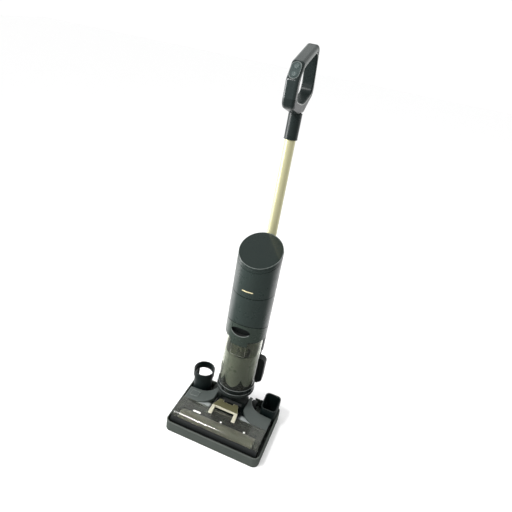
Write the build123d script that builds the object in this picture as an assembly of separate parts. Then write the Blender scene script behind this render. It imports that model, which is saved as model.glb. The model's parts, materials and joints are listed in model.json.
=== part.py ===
from build123d import *
import os
from math import cos, radians, sin, sqrt, tan

# Upright wet and dry floor scrubber standing in its dock.
# Millimetres, +Z up, front of the machine towards -Y, origin on the floor under the dock.

# Shared fits
GAP = 0.4            # between pieces that move past each other
RUN_FIT = 0.05       # radial play of shafts and pins
SEAT = 0.02          # radial play of pressed pieces
OVER = 1.0           # how far a cut runs past a face
EDGE_BREAK = 1.0     # small chamfer on bare edges

# Roller
PILE_RADIUS = 23.0
CORE_RADIUS = 18.0
CORE_WALL = 2.5
PILE_ROUND = 2.0
ROLLER_LENGTH = 236.0
CAP_THICK = 3.0
CAP_INSET = 2.0      # cap edge inside the pile
CAP_PLUG = 8.0
HUB_RADIUS = 5.0
ROLLER_Y = -98.0
FLOOR_GAP = 0.9      # under the roller and the wheels

# Roller drive
DRIVE_PULLEY_RADIUS = 9.5
MOTOR_PULLEY_RADIUS = 5.0
PULLEY_WIDTH = 6.0
BELT_THICK = 1.5
BELT_SIDE_GAP = 1.5
BELT_CASE_GAP = 1.5
MOTOR_REACH = 68.0   # from the roller axis back to the motor axis
MOTOR_RADIUS = 12.5
MOTOR_LENGTH = 56.0
MOTOR_SHAFT_RADIUS = 2.0
SHAFT_DEPTH = 18.0   # length of shaft inside the motor

# Floor head
ROLLER_END_GAP = 2.0
CHEEK_WIDTH = 14.0
CHEEK_WALL = 3.0
COVER_PLATE = 3.0
BASE_BOTTOM = 9.0
BASE_TOP = 44.0
BASE_FRONT = -68.0
BASE_WALL = 3.0
BASE_SHELF = 20.0    # depth of the closed shelf behind the roller
COVER_FRONT = -46.0
COVER_REAR = 4.0
COVER_SKIN = 2.0
LOBE_HIGH = 58.0     # height of the lobes beside the valley
LOBE_LOW = 50.0      # height of the lobes at the ends of the head
LOBE_ROUND = 3.0
VALLEY_HALF = 49.0   # half width of the valley beside the neck
VALLEY_FLARE = 93.0  # half width of the valley at the window
VALLEY_STRAIGHT = 14.0
VALLEY_BULGE = 7.0
VALLEY_HEIGHT = 47.0
VALLEY_SCOOP = 170.0
VALLEY_DIP = 8.0     # lowest line of the valley ahead of its rear edge
LOBE_TAIL = 48.0     # how far the lobes reach back beside the neck
LOBE_TAIL_WIDTH = 9.0
LOBE_SWEEP = 37.0    # straight rear edge at each end of the head
REAR_INSET = 83.0    # rear block inside each end of the head
REAR_LENGTH = 60.0
REAR_TOP = 30.0
EAR_INNER = 36.0
EAR_THICK = 10.0
EAR_RADIUS = 16.0

# Window over the roller
WINDOW_GAP = 2.6
WINDOW_THICK = 2.4
WINDOW_SLOPE = 5.0
WINDOW_LIP = 1.5     # how far the front edge hangs below the roller axis
WINDOW_LIFT = 30.0

# Gold window handle
GOLD_TIP_Y = -69.0
GOLD_BAR_FRONT = -42.0
GOLD_BAR_REAR = -11.0
GOLD_TIP_HALF = 43.0
GOLD_BAR_HALF = 41.0
GOLD_REAR_HALF = 30.0
GOLD_LEG = 9.0
GOLD_TOP = 64.5
GOLD_BOTTOM = 57.0
GOLD_CROWN = 1.0
GOLD_TIP_THICK = 3.0
GOLD_FOOT_INSET = 2.0
GOLD_KNEE = 3.0
LATCH_HALF = 16.0
LATCH_DEPTH = 7.0
LATCH_SUNK = 1.0
LATCH_ROUND = 1.5
LATCH_TRAVEL = 2.0

# Spray bar, squeegee and roller button
SPRAY_HALF = 100.0
SPRAY_DEPTH = 8.0
SPRAY_HEIGHT = 6.0
SPRAY_SETBACK = 4.0
NOZZLE_PITCH = 78.0
NOZZLE_RADIUS = 2.8
NOZZLE_LENGTH = 5.0
SQUEEGEE_THICK = 3.0
SQUEEGEE_HEIGHT = 14.0
KEY_WIDTH = 30.0
KEY_DEPTH = 24.0
KEY_CORNER = 4.0
KEY_INSET = 25.0     # button's middle inside the head's end
KEY_Y = -19.0
KEY_HEIGHT = 4.0
KEY_PROUD = 0.8
KEY_TRAVEL = 2.5

# Rear wheels
WHEEL_RADIUS = 20.0
WHEEL_WIDTH = 16.0
WHEEL_Y = 44.0
WHEEL_OFFSET = 4.0   # between the head and the tread
WHEEL_ARCH = 2.0
WHEEL_ARCH_SIDE = 4.0
TREAD_ROUND = 3.0
TREAD_RIM = 6.0
DISH_DEPTH = 3.0
WHEEL_HUB_RADIUS = 6.0
WHEEL_HUB_SUNK = 1.0
AXLE_RADIUS = 3.0
AXLE_GRIP = 10.0     # length of axle held in the head
AXLE_PROUD = 1.0

# Dock
DOCK_SIDE_MARGIN = 8.0
DOCK_FRONT_MARGIN = 7.5
DOCK_REAR_MARGIN = 6.0
DOCK_WALL = 4.0
DOCK_FLOOR = 6.0
DOCK_HEIGHT = 35.0
DOCK_CORNER = 18.0
DOORWAY_HALF = 62.0
DOORWAY_SILL = 14.0
FOOT_LENGTH = 150.0
FOOT_WIDTH = 14.0
FOOT_DEPTH = 2.5
FOOT_INSET = 24.0
HOLDER_RADIUS = 29.5
HOLDER_WALL = 3.0
HOLDER_TOP = 107.0
HOLDER_BAND = 21.0
HOLDER_FLARE = 3.5
HOLDER_SILL = 45.0
HOLDER_OPEN = 46.0
HOLDER_MARGIN = 2.5
BOX_WIDTH = 50.0
BOX_DEPTH = 58.0
BOX_TOP = 82.0
BOX_DROP = 12.0
BOX_WALL = 3.0
BOX_CORNER = 12.0
BOX_MARGIN = 1.0
INLET_RADIUS = 6.0
INLET_BORE = 2.75
INLET_LENGTH = 14.0
INLET_FLOOR = 2.0
INLET_INSET = 61.0   # inlet's middle inside the dock's side
INLET_Z = 20.0

# Neck
PIVOT_Y = 23.5
PIVOT_Z = 58.0
LEAN = 2.5           # the parked body leans back by this angle
PIN_RADIUS = 5.0
BARREL_RADIUS = 14.0
SOCKET_RADIUS = 32.0
SOCKET_BOTTOM = 22.0
SOCKET_TOP = 46.0
SPIGOT_RADIUS = 24.0
SPIGOT_BOTTOM = 27.0

# Body, with heights along the body axis above the recline pin
BODY_RADIUS = 60.0
HOUSING_WALL = 3.0
PLATFORM_BOTTOM = 48.0
PLATFORM_THICK = 6.0
PLATFORM_INSET = 2.0
CRADLE_TOP = 142.0
CRADLE_MARGIN = 7.0
CRADLE_SHOULDER = 60.0
CRADLE_FOOT_HALF = 54.0
CRADLE_WRAP = 19.0
CRADLE_CORNER = 14.0
UNDERCUT_RISE = 26.0  # slope under the cradle that clears the dock when reclined
SPINE_BITE = 4.5     # depth of the flat that the spine takes off the round body
SPINE_THICK = 8.0
SPINE_HALF = 46.0
MID_HEIGHT = 106.0   # from the middle of the lid to the body seam
UPPER_HEIGHT = 120.7  # from the body seam to the middle of the display
DISPLAY_TILT = 24.5
LENS_THICK = 3.0
LENS_INSET = 3.0
RING_DEPTH = 16.0
RING_GROOVE = 1.2
RING_WALL = 6.0
RING_SLIT = 1.6
RING_TOP_BAND = 5.9

# Works inside the body
FAN_RADIUS = 40.0
FAN_CAN_RADIUS = 30.0
FAN_BASE = 38.0
FAN_CAN = 30.0
FAN_INLET = 18.0
BATTERY_GAP = 3.0
BATTERY_DEPTH = 66.0
BATTERY_HEIGHT = 60.0
BATTERY_ROUND = 5.0
PUMP_RADIUS = 10.0
PUMP_HEIGHT = 46.0
PUMP_MARGIN = 4.0
BOARD_THICK = 1.6
BOARD_MARGIN = 11.0

# Dirty water tank
CUP_INSET = 5.5
CUP_WALL = 2.5
CUP_HEIGHT = 195.0
TANK_BASE_THICK = 6.6
TANK_BASE_OVER = 2.0
TANK_BASE_RIM = 12.0
TANK_BASE_ROUND = 1.2
TANK_BASE_CHAMFER = 2.0
PETAL_COUNT = 6
PETAL_WALL = 1.5
PETAL_CUSP = 0.6
PETAL_LOW = 18.0     # lowest point between two petals above the cup floor
PETAL_HIGH = 62.0    # petal tips above the cup floor
LID_MID = 38.0       # middle of the lid above the cup mouth
LID_TILT = 16.7
LID_TOP = 3.0
LID_PLUG = 8.0
LID_PLUG_WALL = 5.0
LID_TAB_INSET = 1.0
LID_TAB_HEIGHT = 16.0
LID_TAB_HALF = 25.0
RECESS_HALF = 28.0
RECESS_HEIGHT = 27.0
RECESS_DEPTH = 12.0
RECESS_RISE = 31.0   # recess centre above the cup mouth
LATCH_PAD_HALF = 19.0
LATCH_PAD_HEIGHT = 13.0
LATCH_PAD_THICK = 6.0
LATCH_PAD_TRAVEL = 3.0
STRAINER_HALF = 22.0
STRAINER_DEPTH = 26.0
STRAINER_HEIGHT = 52.0
STRAINER_WALL = 2.0
STRAINER_ROUND = 3.0
STRAINER_MARGIN = 6.0
PIPE_RADIUS = 13.0
PIPE_WALL = 2.0
PIPE_Y = 18.0
FLOAT_RADIUS = 21.0
FLOAT_HEIGHT = 16.0
FLOAT_ROUND = 2.0
FLOAT_SEAT = 90.0    # collar on the pipe above the cup floor
FLOAT_COLLAR = 4.0
FLOAT_TRAVEL = 25.0
TANK_TRAVEL = 130.0

# Clean water tank
CLEAN_DEPTH = 28.0
CLEAN_BOTTOM = 150.0
CLEAN_WALL = 2.5
CLEAN_CORNER = 13.0
CLEAN_TOP_GAP = 2.0
CAP_RADIUS = 15.0
CAP_HEIGHT = 6.0
CAP_DROP = 40.0
CAP_NECK_RADIUS = 11.0
CAP_NECK_DEPTH = 5.0
CAP_BAR_INSET = 3.0
CAP_BAR_HEIGHT = 4.0
CAP_BAR_HALF = 2.0

# Tube and handle
TUBE_BACK = 19.5     # tube axis behind the front face of the spine
TUBE_RADIUS = 14.0
TUBE_WALL = 1.6
TUBE_SINK = 42.0     # length of tube inside the socket
TUBE_LENGTH = 357.0
SOCKET_HEIGHT = 52.0
SOCKET_WALL = 5.0
SOCKET_SHOULDER = 17.0
SOCKET_FLAT = 4.0
SLEEVE_RADIUS = 17.5
SLEEVE_LENGTH = 66.0
SLEEVE_GRIP = 33.0   # length of tube inside the sleeve
HANDLE_HALF = 16.0
HANDLE_ROUND = 8.0
HOLE_EDGE_ROUND = 4.0
HANDLE_SEAM = 42.0
HANDLE_SPLIT = 30.0
STRUT_FRONT = 93.5   # front strut ahead of the tube axis
STRUT_THICK = 19.0
FACET_LOW = 84.0
FACET_HIGH = 124.0
FACET_RUN = 25.0
APEX_BACK = 53.0
APEX_HIGH = 169.0
GRIP_BACK = 80.0
GRIP_HIGH = 62.0
GRIP_LOW = 40.0
STRUT_KNEE = 20.0
HOLE_FLOOR = 26.0    # lowest point of the finger hole above the sleeve
HOLE_FLOOR_BACK = -4.0
HOLE_KNEE = 38.0
HOLE_BEND = 88.0
HOLE_BEND_RUN = 15.0
HOLE_BEND_TOP = 110.0
TOP_THICK = 22.0
TOP_END = 11.0
GRIP_THICK = 18.0
GRIP_THICK_LOW = 20.0
GRIP_HOLE_HIGH = 72.0
GRIP_HOLE_LOW = 47.0
LOOP_ROUNDS = [3, 22, 10, 12, 20, 26, 24, 3]
HOLE_ROUNDS = [30, 14, 12, 12, 7, 30, 16]
POD_HALF = 12.0
POD_LENGTH = 42.0
POD_THICK = 3.0
POD_PROUD = 0.8
BUTTON_RADIUS = 6.5
BUTTON_PITCH = 19.0
BUTTON_HEIGHT = 5.0
BUTTON_PROUD = 0.6
BUTTON_TRAVEL = 1.2

# Places that follow from the sizes above
ROLLER_Z = DOCK_FLOOR + FLOOR_GAP + PILE_RADIUS
WHEEL_Z = DOCK_FLOOR + FLOOR_GAP + WHEEL_RADIUS
WINDOW_INNER = PILE_RADIUS + WINDOW_GAP
WINDOW_OUTER = WINDOW_INNER + WINDOW_THICK
CHEEK_RADIUS = WINDOW_INNER - GAP
CHEEK_INNER = ROLLER_LENGTH / 2 + ROLLER_END_GAP
CHEEK_OUTER = CHEEK_INNER + CHEEK_WIDTH
HEAD_HALF = CHEEK_OUTER + COVER_PLATE
HEAD_FRONT = ROLLER_Y - WINDOW_OUTER
REAR_HALF = HEAD_HALF - REAR_INSET
KEY_X = -(HEAD_HALF - KEY_INSET)
MOTOR_Y = ROLLER_Y + MOTOR_REACH
BELT_X0 = CHEEK_INNER + CHEEK_WALL + BELT_SIDE_GAP
BELT_X1 = BELT_X0 + PULLEY_WIDTH
BASE_INNER = CHEEK_INNER - BASE_WALL
WHEEL_INNER = REAR_HALF + WHEEL_OFFSET
DOCK_HALF = HEAD_HALF + DOCK_SIDE_MARGIN + DOCK_WALL
DOCK_FRONT = HEAD_FRONT - DOCK_FRONT_MARGIN - DOCK_WALL
INLET_X = DOCK_HALF - INLET_INSET
DOCK_REAR = WHEEL_Y + WHEEL_RADIUS + DOCK_REAR_MARGIN + DOCK_WALL
HOLDER_X = -(DOCK_HALF - DOCK_WALL - HOLDER_RADIUS - HOLDER_MARGIN)
HOLDER_Y = DOCK_REAR - DOCK_WALL - HOLDER_RADIUS - HOLDER_MARGIN
BOX_X = DOCK_HALF - DOCK_WALL - BOX_WIDTH / 2 - BOX_MARGIN
BOX_Y = DOCK_REAR - DOCK_WALL - BOX_DEPTH / 2 - BOX_MARGIN
PLATFORM_TOP = PLATFORM_BOTTOM + PLATFORM_THICK
PLATFORM_RADIUS = BODY_RADIUS - PLATFORM_INSET
SPINE_FRONT = BODY_RADIUS - SPINE_BITE
CRADLE_HALF = BODY_RADIUS + CRADLE_MARGIN
CRADLE_FRONT = BODY_RADIUS - CRADLE_WRAP
CRADLE_REAR = SPINE_FRONT + SPINE_THICK
LENS_RADIUS = BODY_RADIUS - LENS_INSET
CUP_RADIUS = BODY_RADIUS - CUP_INSET
TANK_BOTTOM = PLATFORM_TOP + GAP
CUP_BOTTOM = TANK_BOTTOM + TANK_BASE_THICK
CUP_TOP = CUP_BOTTOM + CUP_HEIGHT
CUP_FLOOR = CUP_BOTTOM + CUP_WALL
CUP_INNER = CUP_RADIUS - CUP_WALL
TANK_BASE_RADIUS = CUP_RADIUS + TANK_BASE_OVER
STRAINER_FRONT = CUP_INNER - STRAINER_MARGIN
LID_LEVEL = CUP_TOP + LID_MID
LID_FLAT = SPINE_FRONT - GAP
HOUSING_INNER = BODY_RADIUS - HOUSING_WALL
BOARD_RADIUS = HOUSING_INNER - BOARD_MARGIN
PUMP_X = HOUSING_INNER - PUMP_RADIUS - PUMP_MARGIN
BATTERY_HALF = PUMP_X - PUMP_RADIUS - BATTERY_GAP
SEAM = LID_LEVEL + MID_HEIGHT
DISPLAY = SEAM + UPPER_HEIGHT
RING_REAR = DISPLAY - RING_DEPTH + SPINE_FRONT * tan(radians(DISPLAY_TILT))
SPINE_TOP = RING_REAR - SOCKET_HEIGHT
CLEAN_FRONT = SPINE_FRONT + SPINE_THICK + GAP
CLEAN_REAR = CLEAN_FRONT + CLEAN_DEPTH
TUBE_OFFSET = SPINE_FRONT + TUBE_BACK
CLEAN_TOP = SPINE_TOP - CLEAN_TOP_GAP
TUBE_BOTTOM = SPINE_TOP + SOCKET_HEIGHT - TUBE_SINK
TUBE_TOP = TUBE_BOTTOM + TUBE_LENGTH
SLEEVE_BOTTOM = TUBE_TOP - SLEEVE_GRIP
HANDLE_BOTTOM = SLEEVE_BOTTOM + SLEEVE_LENGTH
BIG = 600.0          # reach of the cutting blocks

BODY = Pos(0, PIVOT_Y, PIVOT_Z) * Rot(-LEAN, 0, 0)
SIDE = Plane(origin=(0, 0, 0), x_dir=(0, 1, 0), z_dir=(1, 0, 0))


def slab(x0, x1, y0, y1, z0, z1):
    """A block between six coordinates."""
    return Pos((x0 + x1) / 2, (y0 + y1) / 2, (z0 + z1) / 2) * Box(x1 - x0, y1 - y0, z1 - z0)


def rod_x(y, z, radius, x0, x1):
    """A round bar along X."""
    return Pos((x0 + x1) / 2, y, z) * Rot(0, 90, 0) * Cylinder(radius, x1 - x0)


def rod_y(x, z, radius, y0, y1):
    """A round bar along Y."""
    return Pos(x, (y0 + y1) / 2, z) * Rot(90, 0, 0) * Cylinder(radius, y1 - y0)


def rod_z(x, y, radius, z0, z1):
    """A round bar along Z."""
    return Pos(x, y, (z0 + z1) / 2) * Cylinder(radius, z1 - z0)


def above(level, tilt):
    """Everything above a plane through the axis at a level, rising to the rear by the tilt."""
    return Pos(0, 0, level) * Rot(tilt, 0, 0) * Pos(0, 0, BIG / 2) * Box(BIG, BIG, BIG)


def side_prism(outline, x0, x1):
    """An outline of (y, z) points or a face in the side plane, run along X."""
    return Pos(x0, 0, 0) * extrude(SIDE * outline, x1 - x0)


def on_both_sides(piece):
    """A piece and its mirror image across the middle plane."""
    return piece + mirror(piece, Plane.YZ)


# Dock

def dock_tray():
    """Low tray with a raised rim, an open doorway behind the neck and pockets for the feet."""
    middle_y = (DOCK_FRONT + DOCK_REAR) / 2
    depth = DOCK_REAR - DOCK_FRONT
    outer = Pos(0, middle_y) * RectangleRounded(2 * DOCK_HALF, depth, DOCK_CORNER)
    inner = Pos(0, middle_y, DOCK_FLOOR) * RectangleRounded(
        2 * (DOCK_HALF - DOCK_WALL), depth - 2 * DOCK_WALL, DOCK_CORNER - DOCK_WALL)
    tray = extrude(outer, DOCK_HEIGHT) - extrude(inner, DOCK_HEIGHT)
    tray = chamfer(tray.faces().sort_by(Axis.Z)[-1].edges(), EDGE_BREAK)
    tray -= slab(-DOORWAY_HALF, DOORWAY_HALF, DOCK_REAR - 2 * DOCK_WALL, DOCK_REAR + DOCK_WALL,
                 DOORWAY_SILL, 2 * DOCK_HEIGHT)
    tray -= inlet_shank(INLET_RADIUS + SEAT, DOCK_REAR - 2 * DOCK_WALL, DOCK_REAR + DOCK_WALL,
                        2 * DOCK_HEIGHT)
    for sign in (-1, 1):
        tray -= foot_strip(sign, SEAT)
    return tray


def foot_strip(sign, play=0.0):
    """A rubber strip under one side of the tray."""
    x = sign * (DOCK_HALF - FOOT_INSET)
    strip = SlotOverall(FOOT_LENGTH + 2 * play, FOOT_WIDTH + 2 * play, 90)
    return extrude(Pos(x, (DOCK_FRONT + DOCK_REAR) / 2, 0) * strip, FOOT_DEPTH)


def spare_holder():
    """Open tower for a spare roller, with a band at the top and a window at the back."""
    band_low = HOLDER_TOP - HOLDER_BAND
    band_radius = HOLDER_RADIUS + HOLDER_FLARE
    tower = rod_z(HOLDER_X, HOLDER_Y, HOLDER_RADIUS, DOCK_FLOOR, HOLDER_TOP)
    tower += rod_z(HOLDER_X, HOLDER_Y, band_radius, band_low, HOLDER_TOP)
    tower -= rod_z(HOLDER_X, HOLDER_Y, HOLDER_RADIUS - HOLDER_WALL, DOCK_FLOOR + HOLDER_WALL, BIG)
    tower -= rod_z(HOLDER_X, HOLDER_Y, band_radius - HOLDER_WALL, band_low + HOLDER_WALL, BIG)
    window = slab(HOLDER_X - HOLDER_OPEN / 2, HOLDER_X + HOLDER_OPEN / 2, HOLDER_Y,
                  HOLDER_Y + 2 * HOLDER_RADIUS, HOLDER_SILL, band_low)
    return tower - window


def accessory_box():
    """Open box for the cleaning brush, with a top that slopes to the front."""
    height = BOX_TOP - DOCK_FLOOR
    plan = Pos(BOX_X, BOX_Y, DOCK_FLOOR) * RectangleRounded(BOX_WIDTH, BOX_DEPTH, BOX_CORNER)
    shell = extrude(plan, height)
    well = Pos(BOX_X, BOX_Y, DOCK_FLOOR + BOX_WALL) * RectangleRounded(
        BOX_WIDTH - 2 * BOX_WALL, BOX_DEPTH - 2 * BOX_WALL, BOX_CORNER - BOX_WALL)
    shell -= extrude(well, height)
    rear = BOX_Y + BOX_DEPTH / 2
    front = BOX_Y - BOX_DEPTH / 2
    slope = Polyline((rear, BOX_TOP), (front, BOX_TOP - BOX_DROP), (front, 2 * BOX_TOP), (rear, 2 * BOX_TOP),
                     close=True)
    return shell - side_prism(make_face(slope), BOX_X - BOX_WIDTH, BOX_X + BOX_WIDTH)


def inlet_shank(half, y0, y1, top):
    """Square shank of the power inlet that slides down into the rear wall."""
    return slab(INLET_X - half, INLET_X + half, y0, y1, INLET_Z - half, top)


def dock_inlet():
    """Power inlet that sits in a notch of the rear wall of the dock."""
    socket = rod_y(INLET_X, INLET_Z, INLET_RADIUS, DOCK_REAR - INLET_LENGTH, DOCK_REAR)
    socket += inlet_shank(INLET_RADIUS, DOCK_REAR - DOCK_WALL, DOCK_REAR, DOCK_HEIGHT)
    floor_y = DOCK_REAR - INLET_LENGTH + INLET_FLOOR
    return socket - rod_y(INLET_X, INLET_Z, INLET_BORE, floor_y, DOCK_REAR + OVER)


# Floor head

def window_line(radius):
    """Line of the window at a distance from the roller axis: front arc, then the sloping top."""
    tip = (ROLLER_Y - sqrt(radius ** 2 - WINDOW_LIP ** 2), ROLLER_Z - WINDOW_LIP)
    middle = (ROLLER_Y - radius * cos(radians(45)), ROLLER_Z + radius * sin(radians(45)))
    slope = radians(WINDOW_SLOPE)
    crest = (ROLLER_Y + radius * sin(slope), ROLLER_Z + radius * cos(slope))
    rear_y = COVER_FRONT - GAP
    rear = (rear_y, crest[1] - (rear_y - crest[0]) * tan(slope))
    return tip, middle, crest, rear


def cheek_face():
    """Side outline of the head's end blocks, just inside the window."""
    tip, middle, crest, rear = window_line(CHEEK_RADIUS)
    foot = (ROLLER_Y - sqrt(CHEEK_RADIUS ** 2 - (ROLLER_Z - BASE_BOTTOM) ** 2), BASE_BOTTOM)
    front = ThreePointArc(foot, (ROLLER_Y - CHEEK_RADIUS, ROLLER_Z), middle)
    upper = ThreePointArc(middle, (ROLLER_Y, ROLLER_Z + CHEEK_RADIUS), crest)
    rest = Polyline(crest, rear, (rear[0], BASE_BOTTOM), foot)
    return make_face(front + upper + rest)


def belt_path(play):
    """Outline around both pulleys at a distance from them."""
    drive = Pos(ROLLER_Y, ROLLER_Z) * Circle(DRIVE_PULLEY_RADIUS + play)
    motor = Pos(MOTOR_Y, ROLLER_Z) * Circle(MOTOR_PULLEY_RADIUS + play)
    return make_hull(drive.edges() + motor.edges())


def ear_face():
    """Side outline of the two ears that hold the recline pin."""
    foot = Pos(PIVOT_Y, REAR_TOP / 2 + PIVOT_Z / 2) * Rectangle(2 * EAR_RADIUS, PIVOT_Z - REAR_TOP)
    return foot + Pos(PIVOT_Y, PIVOT_Z) * Circle(EAR_RADIUS)


def head_base():
    """Lower housing of the head with roller cheeks, drive case, motor bay and neck ears."""
    rear_y = COVER_REAR + REAR_LENGTH
    base = slab(-CHEEK_OUTER, CHEEK_OUTER, BASE_FRONT, COVER_REAR, BASE_BOTTOM, BASE_TOP)
    base += slab(-REAR_HALF, REAR_HALF, COVER_REAR, rear_y, BASE_BOTTOM, REAR_TOP)
    for sign in (-1, 1):
        base += side_prism(cheek_face(), sign * (CHEEK_INNER + CHEEK_WIDTH / 2) - CHEEK_WIDTH / 2,
                           sign * (CHEEK_INNER + CHEEK_WIDTH / 2) + CHEEK_WIDTH / 2)
        ear_middle = sign * (EAR_INNER + EAR_THICK / 2)
        base += side_prism(ear_face(), ear_middle - EAR_THICK / 2, ear_middle + EAR_THICK / 2)
    base -= slab(-BASE_INNER, BASE_INNER, BASE_FRONT + BASE_SHELF, COVER_REAR - BASE_WALL,
                 0, 2 * BASE_TOP)
    base -= slab(-BASE_INNER, BASE_INNER, BASE_FRONT + BASE_WALL, BASE_FRONT + BASE_SHELF + OVER,
                 0, BASE_TOP - BASE_WALL)
    base -= slab(-REAR_HALF + AXLE_GRIP, REAR_HALF - AXLE_GRIP, COVER_REAR, rear_y - BASE_WALL,
                 0, REAR_TOP - BASE_WALL)
    base -= side_prism(belt_path(BELT_THICK + BELT_CASE_GAP), CHEEK_INNER + CHEEK_WALL, HEAD_HALF)
    base -= rod_x(ROLLER_Y, ROLLER_Z, HUB_RADIUS + RUN_FIT, CHEEK_INNER - OVER, HEAD_HALF)
    base -= rod_x(ROLLER_Y, ROLLER_Z, HUB_RADIUS + RUN_FIT, -CHEEK_OUTER + CHEEK_WALL, -CHEEK_INNER + OVER)
    base -= rod_x(MOTOR_Y, ROLLER_Z, MOTOR_SHAFT_RADIUS + RUN_FIT, BASE_INNER - OVER, HEAD_HALF)
    base -= rod_x(PIVOT_Y, PIVOT_Z, PIN_RADIUS + SEAT, -HEAD_HALF, HEAD_HALF)
    base -= rod_x(WHEEL_Y, WHEEL_Z, AXLE_RADIUS + SEAT, -HEAD_HALF, HEAD_HALF)
    return base


def bottom_plate():
    """Plate that closes the lower housing from below, pressed in between its walls."""
    return slab(-BASE_INNER + SEAT, BASE_INNER - SEAT, BASE_FRONT + BASE_WALL + SEAT,
                COVER_REAR - BASE_WALL - SEAT, BASE_BOTTOM, BASE_BOTTOM + BASE_WALL)


def end_plate(sign):
    """Flat cover on one end of the head."""
    middle = sign * (CHEEK_OUTER + COVER_PLATE / 2)
    plate = side_prism(cheek_face(), middle - COVER_PLATE / 2, middle + COVER_PLATE / 2)
    plate += slab(middle - COVER_PLATE / 2, middle + COVER_PLATE / 2, COVER_FRONT - GAP, COVER_REAR,
                  BASE_BOTTOM, BASE_TOP)
    return plate


def valley_face():
    """Plan of the valley: straight sides beside the neck that flare out to the window."""
    turn_y = COVER_REAR - VALLEY_STRAIGHT
    tail = (VALLEY_HALF, LOBE_TAIL)
    turn = (VALLEY_HALF, turn_y)
    flare = (VALLEY_FLARE, COVER_FRONT)
    right = Polyline(tail, turn) + SagittaArc(turn, flare, -VALLEY_BULGE)
    left = mirror(right, Plane.YZ)
    ends = Line(tail, (-tail[0], tail[1])) + Line(flare, (-flare[0], flare[1]))
    return make_face(right + left + ends)


def lobe_slope():
    """Block above the sloping tops of both lobes."""
    low = (HEAD_HALF, LOBE_LOW)
    high = (VALLEY_HALF, LOBE_HIGH)
    top = 2 * LOBE_HIGH
    line = Polyline(low, high, (0, LOBE_HIGH), (0, top), (2 * HEAD_HALF, top),
                    (2 * HEAD_HALF, 2 * LOBE_LOW - LOBE_HIGH), close=True)
    face = Plane.XZ * make_face(line)
    return on_both_sides(Pos(0, BIG / 2, 0) * extrude(face, BIG))


def lobe_face():
    """Plan of the top cover with its two tails beside the neck."""
    tail_half = VALLEY_HALF + LOBE_TAIL_WIDTH
    notch = (HEAD_HALF - LOBE_SWEEP, COVER_REAR)
    bend = (tail_half + (notch[0] - tail_half) * (1 - cos(radians(45))),
            LOBE_TAIL - (LOBE_TAIL - COVER_REAR) * sin(radians(45)))
    right = Line((0, COVER_FRONT), (HEAD_HALF, COVER_FRONT))
    right += Line((HEAD_HALF, COVER_FRONT), (HEAD_HALF, COVER_REAR))
    right += Line((HEAD_HALF, COVER_REAR), notch)
    right += ThreePointArc(notch, bend, (tail_half, LOBE_TAIL))
    right += Line((tail_half, LOBE_TAIL), (0, LOBE_TAIL))
    return make_face(right + mirror(right, Plane.YZ))


def key_block(play, low, high):
    """Rounded block at the place of the roller button."""
    face = RectangleRounded(KEY_WIDTH + 2 * play, KEY_DEPTH + 2 * play, KEY_CORNER + play)
    return extrude(Pos(KEY_X, KEY_Y, low) * face, high - low)


def head_cover():
    """Top cover: two sloping lobes that run back beside the neck, on one skin."""
    lobes = extrude(Pos(0, 0, BASE_TOP) * lobe_face(), 2 * LOBE_HIGH - BASE_TOP)
    lobes -= extrude(Pos(0, 0, BASE_TOP - OVER) * valley_face(), 2 * LOBE_HIGH)
    lobes -= lobe_slope()
    tops = lobes.faces().filter_by(lambda face: face.normal_at().Z > 0.9)
    turn_y = COVER_REAR - VALLEY_STRAIGHT
    rims = tops.edges().filter_by(
        lambda edge: edge.center().Y > turn_y or abs(edge.center().X) > HEAD_HALF - OVER)
    lobes = fillet(rims, LOBE_ROUND)
    skin = slab(-HEAD_HALF, HEAD_HALF, COVER_FRONT, COVER_REAR, BASE_TOP, BASE_TOP + COVER_SKIN)
    cover = lobes + skin
    for sign in (-1, 1):
        inner = sign * (WHEEL_INNER + WHEEL_WIDTH / 2)
        reach = WHEEL_WIDTH / 2 + WHEEL_ARCH_SIDE
        cover -= rod_x(WHEEL_Y, WHEEL_Z, WHEEL_RADIUS + WHEEL_ARCH, inner - reach, inner + reach)
    return cover - key_block(GAP, BASE_TOP + COVER_SKIN, 2 * LOBE_HIGH)


def valley_panel():
    """Glossy panel in the valley, scooped along its length."""
    panel = extrude(Pos(0, 0, BASE_TOP + COVER_SKIN) * valley_face(), LOBE_HIGH)
    panel -= slab(-BIG, BIG, COVER_REAR, BIG, 0, BIG)
    panel -= rod_x(COVER_REAR - VALLEY_DIP, VALLEY_HEIGHT + VALLEY_SCOOP, VALLEY_SCOOP, -HEAD_HALF, HEAD_HALF)
    return panel


def spray_bar():
    """Water bar behind the roller with three jets."""
    front_y = BASE_FRONT + SPRAY_SETBACK
    bar = slab(-SPRAY_HALF, SPRAY_HALF, front_y, front_y + SPRAY_DEPTH, BASE_TOP, BASE_TOP + SPRAY_HEIGHT)
    for place in (-1, 0, 1):
        bar += rod_y(place * NOZZLE_PITCH, BASE_TOP + SPRAY_HEIGHT / 2, NOZZLE_RADIUS,
                     front_y - NOZZLE_LENGTH, front_y)
    return bar


def squeegee():
    """Rubber blade across the back of the roller bay."""
    foot = DOCK_FLOOR + FLOOR_GAP
    return slab(-BASE_INNER, BASE_INNER, BASE_FRONT - SQUEEGEE_THICK, BASE_FRONT,
                foot, foot + SQUEEGEE_HEIGHT)


def brush_motor():
    """Motor that turns the roller, fixed to the drive case."""
    can = rod_x(MOTOR_Y, ROLLER_Z, MOTOR_RADIUS, BASE_INNER - MOTOR_LENGTH, BASE_INNER)
    return can - rod_x(MOTOR_Y, ROLLER_Z, MOTOR_SHAFT_RADIUS + RUN_FIT, BASE_INNER - SHAFT_DEPTH, BASE_INNER)


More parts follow.
